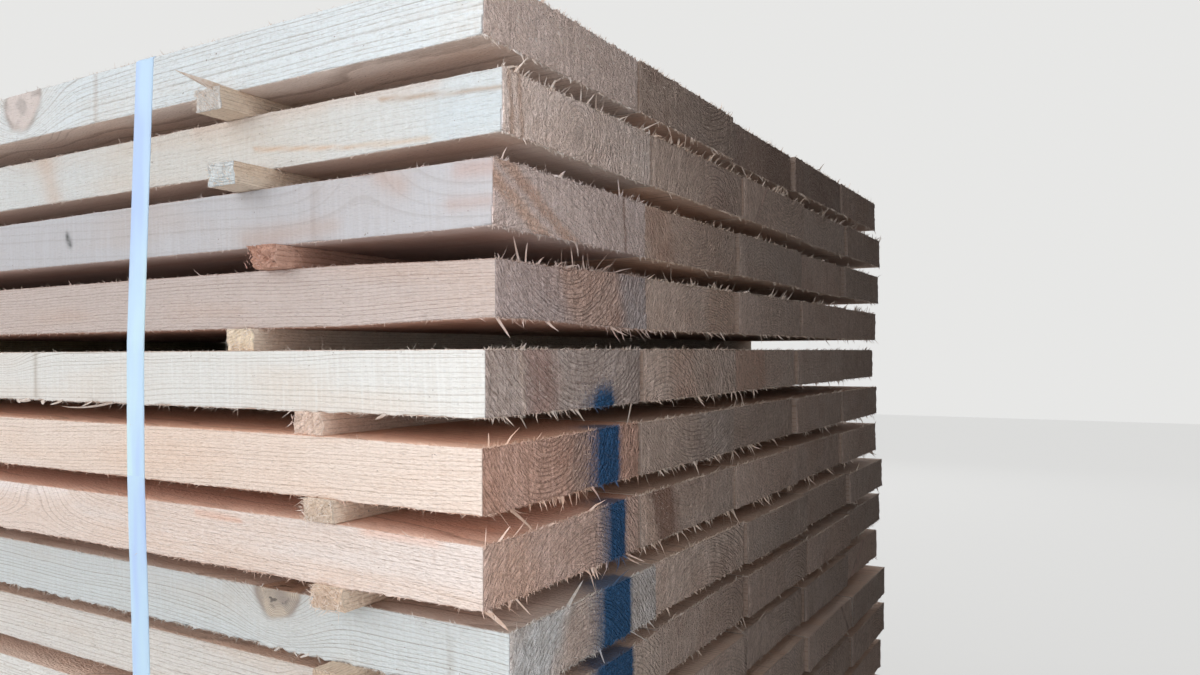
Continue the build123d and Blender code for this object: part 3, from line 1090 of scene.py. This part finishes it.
# Fresh torn wood is yellower than the sawn faces
FRESH_TINT = (1.0, 0.93, 0.87)
# Slivers of the lowest boards stay this far above the floor, in mm
ABOVE_FLOOR = 0.3


def bunched(draw, count, width, bunches, spread):
    """Places from 0 to width, partly bunched round a few random middles."""
    middles = draw.uniform(0, width, bunches)
    near = middles[draw.integers(0, bunches, count)] + draw.normal(0, spread, count)
    anywhere = draw.uniform(0, width, count)
    return np.clip(np.where(draw.uniform(0, 1, count) < 0.65, near, anywhere), 0.5, width - 0.5)


def directions(draw, count, out, side, rise):
    """Aims with (low, high) ranges outwards and upwards and a normal spread sideways."""
    return np.column_stack([
        draw.uniform(*out, count), draw.normal(0, side, count), draw.uniform(*rise, count),
    ])


def edge_fibres(draw, level, board, low, high, end, rise, close):
    """A comb of short teeth along one edge of an end, and flat pale slivers there in bunches."""
    width = high[1] - low[1]
    x = high[0] if end > 0 else low[0]
    z = high[2] - 0.7 if rise > 0 else low[2] + 0.7
    turn = np.array([end, 1, rise])

    def roots(at, depth):
        back = end * draw.uniform(0.2, depth, len(at))
        return np.column_stack([x - back, low[1] + at, np.full(len(at), z)])

    count = {0: 330, 1: 260}.get(board, 150) if close else 30
    base = roots(draw.uniform(0, width, count), 2.2)
    aim = directions(draw, count, (-0.1, 0.9), 0.5, (0.3, 1.0)) * turn
    span = np.exp(draw.normal(0.75, 0.45, count)).clip(0.9, 6)
    broad = draw.uniform(0.5, 1.2, count)
    comb = (base, aim, draw.normal(0, 0.12, (count, 3)), span, broad, broad * 0.35, 1)

    longer = SPLINTERED.get((level, rise), 0.0) if close else 0.0
    count = int({0: 34, 1: 32}.get(board, 24) * (1 + longer)) if close else 5
    base = roots(bunched(draw, count, width, 5, 7), 1.5)
    aim = directions(draw, count, (0.05, 0.8), 0.55, (0.35, 1.0)) * turn
    span = np.exp(draw.normal(1.45 + 0.5 * longer, 0.5, count)).clip(2, 15)
    broad = (span * draw.uniform(0.07, 0.22, count)).clip(0.5, 2.1)
    bend = draw.normal(0, 0.22, (count, 3)) + [0, 0, -0.08]
    return [comb, (base, aim, bend, span, broad, broad * 0.22, 2)]


def end_fuzz(draw, board, low, high, end, close, felt):
    """Fuzz that stands out of an end, and strands that lie on the nearest ends."""
    x = high[0] if end > 0 else low[0]

    def roots(count, out, lowest):
        ys = draw.uniform(low[1] + 1, high[1] - 1, count)
        zs = draw.uniform(low[2] + lowest, high[2] - 1, count)
        return np.column_stack([np.full(count, x + end * out), ys, zs])

    count = {0: 420, 1: 280}.get(board, 110) if close else 20
    base = roots(count, -0.4, 1)
    aim = directions(draw, count, (0.25, 0.9), 0.6, (-1.0, 0.5)) * [end, 1, 1]
    span = draw.uniform(1.2, 3.4, count)
    broad = draw.uniform(0.3, 0.75, count)
    groups = [(base, aim, draw.normal(0, 0.15, (count, 3)), span, broad, broad * 0.4, 1)]
    if close and board < 2:
        count = int((600 if board == 0 else 300) * felt)
        base = roots(count, 0.15, 2)
        lean = draw.normal(-0.6, 0.5, count) + draw.choice([0, math.pi], count)
        aim = np.column_stack([draw.uniform(0.05, 0.22, count), np.cos(lean), np.sin(lean)])
        span = draw.uniform(2.5, 6.5, count)
        broad = draw.uniform(0.3, 0.6, count)
        bend = np.tile([-0.1, 0, 0], (count, 1))
        groups.append((base, aim, bend, span, broad, broad * 0.5, 1))
    return groups


def side_fuzz(draw, level, board, low, high):
    """Fuzz along the long edges on the package's own side."""
    side, y = (-1, low[1]) if board == 0 else (1, high[1])
    near = level < SEEN_LAYERS and board == 0
    reach = FINE_REACH if near else high[0] - low[0] - 20
    rough = RAGGED.get((level, board), USUAL_RAGGED)
    groups = []
    for rise, z, count in ((1, high[2], 200), (-1, low[2], int(170 + 120 * rough))):
        count = count if near else count // 5
        base = np.empty((count, 3))
        base[:, 0] = high[0] - 4 - draw.uniform(0, reach, count)
        base[:, 1:] = y - side * 0.6, z - rise * 0.6
        aim = np.column_stack([
            draw.normal(0, 1.2, count),
            side * draw.uniform(0.0, 0.5, count),
            rise * draw.uniform(0.1, 0.7, count),
        ])
        span = np.exp(draw.normal(0.85 + 0.12 * rough, 0.45, count)).clip(0.8, 9)
        broad = draw.uniform(0.4, 1.0, count)
        groups.append((base, aim, draw.normal(0, 0.12, (count, 3)), span, broad, broad * 0.4, 1))
    return groups


def placed_slivers(draw, level, low, high):
    """The large slivers and the flakes of a first board, each where the photograph has it."""
    groups = []
    own = np.array([sliver[1:] for sliver in LONG_SLIVERS if sliver[0] == level])
    if len(own):
        across, up, tip_across, tip_up, tip_out, wide = own.T
        start = np.column_stack([np.full(len(own), high[0] - 0.5), low[1] + across, high[2] + up])
        tip = np.column_stack([high[0] + tip_out, low[1] + tip_across, high[2] + tip_up])
        span = np.linalg.norm(tip - start, axis=1)
        bend = draw.normal(0, 0.06, start.shape)
        groups.append((start, tip - start, bend, span, wide, wide * 0.22, 4))
    for back, up, tip_back, tip_up, out, wide in FLAKES.get(level, []):
        start = np.array([[high[0] - back, low[1] + 0.6, low[2] + up]])
        way = np.array([[back - tip_back, -out, tip_up - up]])
        span = np.linalg.norm(way, axis=1)
        bow, broad, thick = np.array([FLAKE_BOW]), np.array([1.4 * wide]), np.array([1.3])
        groups.append((start, way, bow, span, broad, thick, 5))
    return groups


def add_board_fibres(gather, level, board, low, high, look):
    """Torn fibres of one board: along the edges of its ends, on its end grain and on its long edges."""
    draw = np.random.default_rng(5000 + 37 * level + board)
    groups = []
    for end in (1, -1):
        close = level < SEEN_LAYERS and end == 1
        for rise in (1, -1):
            groups += edge_fibres(draw, level, board, low, high, end, rise, close)
        groups += end_fuzz(draw, board, low, high, end, close, look["felt"])
    if board in OUTER_BOARDS:
        groups += side_fuzz(draw, level, board, low, high)
    if board == 0:
        groups += placed_slivers(draw, level, low, high)
    share = bpy.context.scene.board_package.fibre_share
    tone = np.array(look["tone"]) * 0.55 + np.array(look["end"]) * 0.45
    tone = np.append(tone * FRESH_TINT, 1.0)
    for *shape, parts in groups:
        kept = math.ceil(len(shape[0]) * share)
        points, faces = slivers(*(values[:kept] for values in shape), parts)
        points = warp_board(level, board, points, low, high)
        points[:, 2] = np.maximum(points[:, 2], ABOVE_FLOOR)
        paint = mark_cover(level, points, low, high) if board == 0 else None
        gather.add_fibres(points, faces, tone, paint)


# Laths

# Laths whose near ends the photograph shows broken, by (level from the top, row): (depth of the break
# in mm, how much deeper it is on one side)
BROKEN_LATHS = {
    (0, 0): (3.0, 0.3), (1, 0): (2.5, 0.2), (2, 0): (9.0, 0.5), (3, 0): (4.0, -0.3), (4, 0): (5.0, 0.4),
    (5, 0): (5.0, 0.2), (6, 0): (6.0, -0.3),
}
# How many fibres stand out of the laths' ends, and how long they are
FRAYED_LATHS = {
    (0, 0): (120, 0.9), (3, 0): (120, 0.8), (4, 0): (100, 0.7), (5, 0): (200, 1.35), (6, 0): (220, 1.3),
}
SEEN_FRAY = (80, 0.8)
UNSEEN_FRAY = (8, 0.8)
# The long shards of the laths' near ends: root (from the lath's +X side, from its end, below its top),
# way it points, length and width
LATH_SHARDS = {
    (0, 0): [((9, 22, 1.0), (-0.22, -1.0, 0.16), 50, 8.5), ((9, 3, 3), (-0.3, -1.0, 0.4), 14, 2.6)],
}
# Tones of the nearest laths, and how much brighter and bluer the ends of each level are: clean cut and
# painted daylight
LATH_TONES = {
    (0, 0): (0.76, 0.63, 0.51), (1, 0): (0.78, 0.66, 0.54), (2, 0): (0.60, 0.37, 0.29),
    (3, 0): (0.86, 0.75, 0.64), (4, 0): (0.84, 0.68, 0.58), (5, 0): (0.84, 0.72, 0.60),
    (6, 0): (0.84, 0.70, 0.57),
}
LATH_END_DAYLIGHT_TINTS = {0: (1.08, 1.42, 1.86), 1: (1.02, 1.45, 2.0), 3: (1.2, 1.3, 1.3)}
USUAL_END_DAYLIGHT_TINT = (1.10, 1.2, 1.3)
# A felt below zero is a clean cut
CLEAN_CUT = -0.8
# A lath's block is made lying along X: its (along, across, up) is (y, x, z) of the package
TURNED = [1, 0, 2]


def lath_look(draw, level, row):
    """The look of one lath: the nearest ones follow the photograph, the others are drawn at random."""
    tone = np.array([0.72, 0.62, 0.48]) * draw.uniform(0.85, 1.1) * (1 + draw.uniform(-0.06, 0.06, 3))
    tone = np.array(LATH_TONES.get((level, row), tone))
    pith = (draw.uniform(-60, 60), draw.uniform(40, 90))
    ring = draw.uniform(2.2, 3.5)
    return {
        # The end's tint is partly a paler clean cut and partly painted bluish daylight on the lit end
        "tone": tuple(tone), "end": tuple(tone * LATH_END_DAYLIGHT_TINTS.get(level, USUAL_END_DAYLIGHT_TINT)),
        "ring": ring, "end_ring": ring, "pith": pith, "end_pith": pith,
        "slope": draw.uniform(-0.01, 0.01), "lines": 0.5, "heart": draw.uniform(20, 80),
        "number": -40.0 - level * 0.7 - row * 5.3, "felt": CLEAN_CUT, "rough": 0.7,
    }


def add_lath(gather, level, row, low, high):
    """One lath: a sawn stick laid across the layer, roughened, and broken where the photograph has it."""
    seen = level < SEEN_LAYERS - 1 and row == 0
    seed = 700 + 17 * level + 3 * row
    block_low, block_high = low[TURNED], high[TURNED]
    first, last = block_low[0], block_high[0]
    if seen:
        near, far = first + 12 + np.arange(0, 150, 7.0), np.linspace(first + 170, last - 12, 14)
        stations = np.concatenate([near, far])
        section, near_end = (4.5, 4.5, 1.0), (1.5, 0.9, [0.7, 2.2, 6.0])
    else:
        stations = np.linspace(first + 12, last - 12, 8)
        section, near_end = (12.0, 9.0, 1.0), (6.0, 0.9, [2.0])
    far_end = (6.0, 0.9, [2.0])
    points, faces, is_end = sawn_block(block_low, block_high, stations, section, near_end, far_end)
    draw = np.random.default_rng(seed)
    look = lath_look(draw, level, row)
    radius = 0.7 + 0.35 * lumps(points, (9, 5, 5), seed)
    moved, outward = round_off(points, block_low, block_high, radius)
    ends = np.abs(outward[:, 0])
    values = grain_attributes(points, block_low, block_high, look, outward)
    tufts = lumps(points, (8, 2.2, 2.2), seed + 1) * 0.55 + lumps(points, (20, 7, 7), seed + 2) * 0.9
    relief = tufts * ends**2 + lumps(points, (12, 8, 8), seed + 3) * 0.15 * (1 - ends)
    moved = moved + outward * relief[:, None]
    if (level, row) in BROKEN_LATHS:
        moved = break_end(moved, block_low, block_high, BROKEN_LATHS[(level, row)], seed)
    # Swapping two axes mirrors the block, so its faces are turned round
    gather.add(moved[:, TURNED], [block[:, ::-1] for block in faces], is_end.astype(int), values)
    add_lath_fibres(gather, draw, level, row, low, high, seen, look["tone"])


def add_lath_fibres(gather, draw, level, row, low, high, seen, tone):
    """The fibres that stand out of a lath's ends, and the shards of its near end."""
    tone = np.array([*tone, 1.0]) * [1.05, 1.12, 1.25, 1]
    for end, y in ((-1, low[1]), (1, high[1])):
        near = end < 0
        count, longer = FRAYED_LATHS.get((level, row), SEEN_FRAY) if seen and near else UNSEEN_FRAY
        xs = draw.uniform(low[0], high[0], count)
        base = np.column_stack([xs, np.full(count, y - end * 0.6), draw.uniform(low[2], high[2], count)])
        aim = np.column_stack([
            draw.normal(0, 0.5, count), end * draw.uniform(0.2, 1, count), draw.normal(0.1, 0.6, count),
        ])
        bend = draw.normal(0, 0.2, (count, 3))
        span = np.exp(draw.normal(longer, 0.5, count)).clip(0.8, 11)
        broad = draw.uniform(0.3, 0.9, count)
        for (x, inward, down), way, reach, width in LATH_SHARDS.get((level, row), []) if near else []:
            base = np.vstack([base, [high[0] - x, y + inward, high[2] - down]])
            aim = np.vstack([aim, way])
            bend = np.vstack([bend, [0, 0, 0.03]])
            span = np.append(span, reach)
            broad = np.append(broad, width)
        gather.add_fibres(*slivers(base, aim, bend, span, broad, broad * 0.35, 2), tone)


def break_end(points, low, high, broken, seed):
    """A snapped end: it is pushed in by a noisy step that grows across the section."""
    depth, slope = broken
    across, up = ((points[:, i] - low[i]) / (high[i] - low[i]) for i in (1, 2))
    flat = points * [0, 1, 1]
    shard = lumps(flat, (1, 4.5, 5.0), seed + 8) * 0.6 + lumps(flat, (1, 1.8, 1.8), seed + 9) * 0.35
    push = depth * np.clip(0.45 + slope * (0.5 - across) + 0.5 * (0.5 - up) + shard * 0.6, 0, 1.2)
    points[:, 0] += push * smooth(26, 0, points[:, 0] - low[0])
    return points


# Straps

BAND_THICKNESS = 1.0
# The band's section, round from one edge: depths below the outside, as shares of the thickness
SECTION_DEPTH = np.array([0.3, 0.04, 0.02, 0.0, 0.02, 0.04, 0.3, 0.7, 0.96, 0.96, 0.7])
# Samples along the outline: how far apart, and how far from each corner there are more, in mm
BAND_STEP = 20.0
CORNER_STEPS = (-2.0, -1.0, -0.4, 0.0, 0.4, 1.0, 2.0)
# How the first band strays along X on the -Y side: heights and distances, in mm
LEAN_HEIGHTS = (0, 340, 500, 590, 700, 770, 958)
LEAN_PLACES = (0, -2.5, 3.0, 3.0, 0.5, 3.0, 10.0)


def convex_hull(points):
    """Anticlockwise hull of (y, z) points by walking round them in order of y."""
    order = points[np.lexsort((points[:, 1], points[:, 0]))]

    def half(run):
        chain = []
        for point in run:
            while len(chain) > 1:
                a, b = chain[-1] - chain[-2], point - chain[-1]
                if a[0] * b[1] - a[1] * b[0] > 1e-6:
                    break
                chain.pop()
            chain.append(point)
        return chain

    return np.array(half(order)[:-1] + half(order[::-1])[:-1])


def band_path(solid):
    """The closed outline of a band's outside as (y, z) points, and how far along it each one lies.

    It is the hull of the solid with the lap pressed down to the band's own level.
    """
    outline = convex_hull(np.unique(np.round(solid[:, 1:], 3), axis=0))
    outline[:, 1] = np.minimum(outline[:, 1], solid[:, 2].max() - BAND_THICKNESS)
    outline = outline[np.linalg.norm(outline - np.roll(outline, 1, axis=0), axis=1) > 0.3]
    steps = np.linalg.norm(np.roll(outline, -1, axis=0) - outline, axis=1)
    total = steps.sum()
    travelled = np.concatenate([[0], np.cumsum(steps)])
    even = np.linspace(0, total, int(total / BAND_STEP), endpoint=False)
    at = np.concatenate([even, *[(travelled[:-1] + step) % total for step in CORNER_STEPS]])
    at = np.unique(at.round(3))
    closed = np.vstack([outline, outline[:1]])
    return np.column_stack([np.interp(at, travelled, closed[:, i]) for i in (0, 1)]), at


def band_lean(path, node):
    """How far the first band strays along X at each point of its path on the -Y side."""
    if node != STRAP_NODES[0]:
        return np.zeros(len(path))
    on_side = path[:, 0] < path[:, 0].min() + 60
    return np.where(on_side, np.interp(path[:, 1], LEAN_HEIGHTS, LEAN_PLACES), 0.0)


def loft(one, two):
    """Quads between rows of point numbers and the next rows, where each row is a closed loop."""
    quads = np.stack([one, two, np.roll(two, -1, axis=1), np.roll(one, -1, axis=1)], axis=-1)
    return quads.reshape(-1, 4)


def add_strap(node, material):
    """One band: its section is carried round the outline of the solid, and a welded lap lies on top."""
    solid = solid_points(node)
    low, high = solid.min(axis=0), solid.max(axis=0)
    width = high[0] - low[0]
    middle_x = (low[0] + high[0]) / 2
    edge, bevel, crown = width / 2, width / 2 - 0.35, width / 2 * 0.6
    across = np.array([-edge, -bevel, -crown, 0, crown, bevel, edge, edge, bevel, -bevel, -edge])
    path, at = band_path(solid)
    tangent = np.roll(path, -1, axis=0) - np.roll(path, 1, axis=0)
    tangent /= np.linalg.norm(tangent, axis=1, keepdims=True)
    outward = np.column_stack([tangent[:, 1], -tangent[:, 0]])
    band = np.empty((len(path), len(across), 3))
    band[..., 0] = middle_x + across + band_lean(path, node)[:, None]
    for axis in (0, 1):
        depth = outward[:, axis, None] * SECTION_DEPTH * BAND_THICKNESS
        band[..., axis + 1] = path[:, axis, None] - depth

    # The lap on the top run: the free end, pressed down in waves by the weld, with a lip at each end
    on_lap = solid[solid[:, 2] > high[2] - 0.3]
    ys = np.linspace(on_lap[:, 1].min(), on_lap[:, 1].max(), 24)
    share = (ys - ys[0]) / (ys[-1] - ys[0])
    press = 0.12 * np.sin(share * math.pi * 14) * (np.abs(share - 0.5) < 0.36)
    lap = np.empty((len(ys), len(across), 3))
    lap[..., 0] = middle_x + across
    lap[..., 1] = ys[:, None]
    lap[..., 2] = high[2] - 0.02 - SECTION_DEPTH * BAND_THICKNESS * 0.96
    lap[..., 2] -= (0.12 - press[:, None]) * (SECTION_DEPTH < 0.5)

    def band_map(places):
        uv = np.zeros((len(places), len(across), 3))
        uv[..., 0] = across / width
        uv[..., 1] = places[:, None] * MM
        return uv.reshape(-1, 3)

    loops = np.arange(len(path) * len(across)).reshape(len(path), -1)
    lap_loops = np.arange(len(ys) * len(across)).reshape(len(ys), -1) + loops.size
    faces = [loft(loops, np.roll(loops, -1, axis=0)), loft(lap_loops[:-1], lap_loops[1:])]
    faces += [lap_loops[:1], lap_loops[-1:, ::-1]]
    piece = make_piece(
        node.replace("strap", "band"), np.concatenate([band.reshape(-1, 3), lap.reshape(-1, 3)]),
        faces, [material],
        attributes=[("UVMap", "FLOAT_VECTOR", np.concatenate([band_map(at), band_map(ys)]))],
    )
    # Light comes through and round the thin band: it leaves no dark stripe on the boards behind it
    piece.visible_shadow = False
    piece.visible_diffuse = False
    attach(piece, "root")
    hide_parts(node)


# Settings


class BoardPackage(bpy.types.PropertyGroup):
    """Wear, colours and light of the package, as a user would change them."""

    edge_radius: FloatProperty(
        name="Edge radius", description="How round the sawn edges of the boards are worn",
        default=0.0015, min=0.001, max=0.004, unit="LENGTH", precision=4,
    )
    fibre_share: FloatProperty(
        name="Fibres", description="Share of the torn fibres that stand out of the boards",
        default=1.0, min=0.1, max=1.0, subtype="FACTOR",
    )
    mark_colour: FloatVectorProperty(
        name="Mark", description="Colour sprayed on the board ends", subtype="COLOR",
        default=(0.028, 0.108, 0.245), min=0, max=1,
    )
    band_colour: FloatVectorProperty(
        name="Band", description="Colour of the strapping band", subtype="COLOR",
        default=(0.55, 0.755, 0.97), min=0, max=1,
    )
    fill_light: FloatProperty(
        name="Fill", description="Strength of the even light from all round", default=0.68, min=0,
    )
    key_light: FloatProperty(
        name="Key", description="Strength of the large lamp on the open side",
        default=62.0, min=0, unit="POWER",
    )
    backdrop: FloatVectorProperty(
        name="Backdrop", description="Colour of the floor and the background", subtype="COLOR",
        default=(0.80, 0.80, 0.79), min=0, max=1,
    )


class BOARDS_OT_add_boards(bpy.types.Operator):
    """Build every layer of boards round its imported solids"""

    bl_idname = "boards.add_boards"
    bl_label = "Add Boards"

    def execute(self, context):
        materials = [sawn_face(), sawn_end(), torn_fibre()]
        for (level, board), (along, up, size) in KNOT_PLACES.items():
            low, high = board_boxes(LAYER_NODES[level])[board]
            KNOTS[(level, board)] = (high[0] + along, (low[2] + high[2]) / 2 + up, size)
        for level, node in enumerate(LAYER_NODES):
            gather = Gather()
            for board, (low, high) in enumerate(board_boxes(node)):
                add_board(gather, level, board, low, high)
            piece = gather.piece(node.replace("board_layer", "boards"), materials)
            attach(piece, "root")
            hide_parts(node)
        return {"FINISHED"}


class BOARDS_OT_add_laths(bpy.types.Operator):
    """Build the rows of drying laths"""

    bl_idname = "boards.add_laths"
    bl_label = "Add Laths"

    def execute(self, context):
        materials = [bpy.data.materials[name] for name in ("sawn_face", "sawn_end", "torn_fibre")]
        for row, node in enumerate(LATH_NODES):
            gather = Gather()
            for level, (low, high) in enumerate(lath_boxes(node)):
                add_lath(gather, level, row, low, high)
            piece = gather.piece(node.replace("lath_row", "laths"), materials)
            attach(piece, "root")
            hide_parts(node)
        return {"FINISHED"}


class BOARDS_OT_add_bands(bpy.types.Operator):
    """Build the strapping bands"""

    bl_idname = "boards.add_bands"
    bl_label = "Add Bands"

    def execute(self, context):
        material = band_plastic()
        for node in STRAP_NODES:
            add_strap(node, material)
        return {"FINISHED"}


# The lamps: name, share of the key's power, size (m), place (m) and the way they shine
LAMPS = [
    ("key", 1.0, (5.0, 3.0), (-0.85, -3.6, 1.3), (0.0, 1.0, -0.12)),
    ("near", 0.041, (0.3, 1.0), (1.86, -0.80, 0.72), (-0.87, 0.50, 0.0)),
    ("back", 0.45, (4.4, 2.4), (-0.6, 4.2, 2.0), (0.0, -0.94, -0.33)),
    ("over", 0.40, (3.0, 3.0), (-0.6, 0.0, 4.0), (0.0, 0.0001, -1.0)),
]
# The camera, solved on the photograph: heading from +Y towards -X, rise and roll in degrees, place in
# mm from the nearest corner of the fifth layer, and focal length and image width in pixels
CAMERA_ANGLES = (29.987, 0.989, -0.228)
CAMERA_PLACE = (363.7, -476.5, -2.8)
FOCAL_PIXELS, IMAGE_PIXELS = 884.89, 1200
SENSOR_WIDTH = 36.0
# Where the sky is brightest, and its strengths away from there and towards it, as shares of the fill
SKY_SIDE = (-0.78, -0.62, 0.0)
SKY_RANGE = (0.06, 2.1)
# Half the floor's width in mm, and how much of the backdrop's colour the floor adds for the camera
FLOOR_REACH = 9000.0
FLOOR_GLOW = 0.74


def look_from(place, forward, roll):
    """A camera matrix at a place, looking along forward with +Z up, rolled by an angle."""
    forward = Vector(forward).normalized()
    right = forward.cross(Vector((0, 0, 1))).normalized()
    up = right.cross(forward)
    turned_right = math.cos(roll) * right + math.sin(roll) * up
    turned_up = -math.sin(roll) * right + math.cos(roll) * up
    rows = Matrix((turned_right, turned_up, -forward)).transposed().to_4x4()
    return Matrix.Translation(place) @ rows


class BOARDS_OT_add_stage(bpy.types.Operator):
    """Set up the floor, the light and the camera"""

    bl_idname = "boards.add_stage"
    bl_label = "Add Stage"

    def execute(self, context):
        settings = context.scene.board_package
        context.scene.view_settings.view_transform = "Standard"
        corners = np.array([[-1, -1, 0], [1, -1, 0], [1, 1, 0], [-1, 1, 0]]) * FLOOR_REACH
        floor = make_piece(
            "floor", corners, [np.array([[0, 1, 2, 3]])], [floor_finish(settings.backdrop)],
        )
        context.scene.world = sky(settings)
        self.add_camera(context.scene)
        for name, share, size, place, forward in LAMPS:
            lamp = bpy.data.lights.new(name, "AREA")
            lamp.shape = "RECTANGLE"
            lamp.size, lamp.size_y = size
            lamp.energy = share * settings.key_light
            holder = bpy.data.objects.new(name, lamp)
            holder.visible_camera = False
            context.scene.collection.objects.link(holder)
            holder.matrix_world = look_from(Vector(place), forward, 0.0)
        return {"FINISHED"}

    @staticmethod
    def add_camera(scene):
        """Places the camera from the corner of the fifth layer that is nearest in the photograph."""
        low, high = board_boxes(LAYER_NODES[4])[0]
        corner = Vector((high[0], low[1], high[2])) * MM
        turn, rise, roll = (math.radians(angle) for angle in CAMERA_ANGLES)
        forward = (-math.sin(turn) * math.cos(rise), math.cos(turn) * math.cos(rise), math.sin(rise))
        data = bpy.data.cameras.new("camera")
        data.sensor_width = SENSOR_WIDTH
        data.lens = FOCAL_PIXELS / IMAGE_PIXELS * SENSOR_WIDTH
        data.clip_start = 0.01
        camera = bpy.data.objects.new("camera", data)
        scene.collection.objects.link(camera)
        camera.matrix_world = look_from(corner + Vector(CAMERA_PLACE) * MM, forward, roll)
        scene.camera = camera


def sky(settings):
    """The world: pale to the camera and in reflections, while it lights the object plainly.

    Its light is brightest past the -Y side and weakest in front of the +X ends.
    """
    world = bpy.data.worlds.new("studio")
    world.use_nodes = True
    nodes, links = world.node_tree.nodes, world.node_tree.links
    light = nodes["Background"]
    light.inputs["Color"].default_value = (1.0, 1.0, 1.0, 1.0)
    direction = nodes.new("ShaderNodeTexCoord")
    along = nodes.new("ShaderNodeVectorMath")
    along.operation = "DOT_PRODUCT"
    along.inputs[1].default_value = SKY_SIDE
    strength = nodes.new("ShaderNodeMapRange")
    weakest, strongest = (share * settings.fill_light for share in SKY_RANGE)
    ends = (("From Min", -0.05), ("From Max", 0.8), ("To Min", weakest), ("To Max", strongest))
    for name, value in ends:
        strength.inputs[name].default_value = value
    links.new(direction.outputs["Generated"], along.inputs[0])
    links.new(along.outputs["Value"], strength.inputs["Value"])
    links.new(strength.outputs[0], light.inputs["Strength"])

    plain = nodes.new("ShaderNodeBackground")
    plain.inputs["Color"].default_value = (*settings.backdrop, 1.0)
    plain.inputs["Strength"].default_value = 1.0
    path = nodes.new("ShaderNodeLightPath")
    either = nodes.new("ShaderNodeMath")
    either.operation = "MAXIMUM"
    mix = nodes.new("ShaderNodeMixShader")
    links.new(path.outputs["Is Camera Ray"], either.inputs[0])
    links.new(path.outputs["Is Glossy Ray"], either.inputs[1])
    links.new(either.outputs[0], mix.inputs[0])
    links.new(light.outputs[0], mix.inputs[1])
    links.new(plain.outputs[0], mix.inputs[2])
    links.new(mix.outputs[0], nodes["World Output"].inputs[0])
    return world


def floor_finish(colour):
    """Plain pale floor: seen by the camera or in gloss, it glows, so that it stays pale and even.

    It sends less light up than it shows, and least in front of the +X ends.
    """
    finish = Finish("floor", 0.9, 0.1)
    path = finish.nodes.new("ShaderNodeLightPath")
    seen = finish.math("MAXIMUM", path.outputs["Is Camera Ray"], path.outputs["Is Glossy Ray"])
    place = finish.nodes.new("ShaderNodeTexCoord").outputs["Object"]
    x, _, _ = finish.split(place)
    shown, bright, dim = (tuple(share * c for c in colour) for share in (0.3, 0.88, 0.15))
    unseen = finish.mix(finish.step(x, 1.2, 2.0), bright, dim)
    finish.feed(finish.shader.inputs["Emission Color"], (*colour, 1.0))
    finish.feed(finish.shader.inputs["Emission Strength"], finish.times(seen, FLOOR_GLOW))
    return finish.colour(finish.mix(seen, unseen, shown))


class BOARDS_PT_panel(bpy.types.Panel):
    """Lists the package's settings and the steps that build it"""

    bl_label = "Board Package"
    bl_space_type = "VIEW_3D"
    bl_region_type = "UI"
    bl_category = "Boards"

    def draw(self, context):
        settings = context.scene.board_package
        for name in SETTINGS:
            self.layout.prop(settings, name)
        for operator in STEPS:
            self.layout.operator(operator.bl_idname)


SETTINGS = (
    "edge_radius", "fibre_share", "mark_colour", "band_colour", "fill_light", "key_light", "backdrop",
)
STEPS = (BOARDS_OT_add_boards, BOARDS_OT_add_laths, BOARDS_OT_add_bands, BOARDS_OT_add_stage)
CLASSES = (BoardPackage, *STEPS, BOARDS_PT_panel)


def register():
    for kind in CLASSES:
        bpy.utils.register_class(kind)
    bpy.types.Scene.board_package = PointerProperty(type=BoardPackage)


def unregister():
    del bpy.types.Scene.board_package
    for kind in reversed(CLASSES):
        bpy.utils.unregister_class(kind)


def main():
    register()
    bpy.ops.boards.add_boards()
    bpy.ops.boards.add_laths()
    bpy.ops.boards.add_bands()
    bpy.ops.boards.add_stage()


if __name__ == "__main__":
    main()
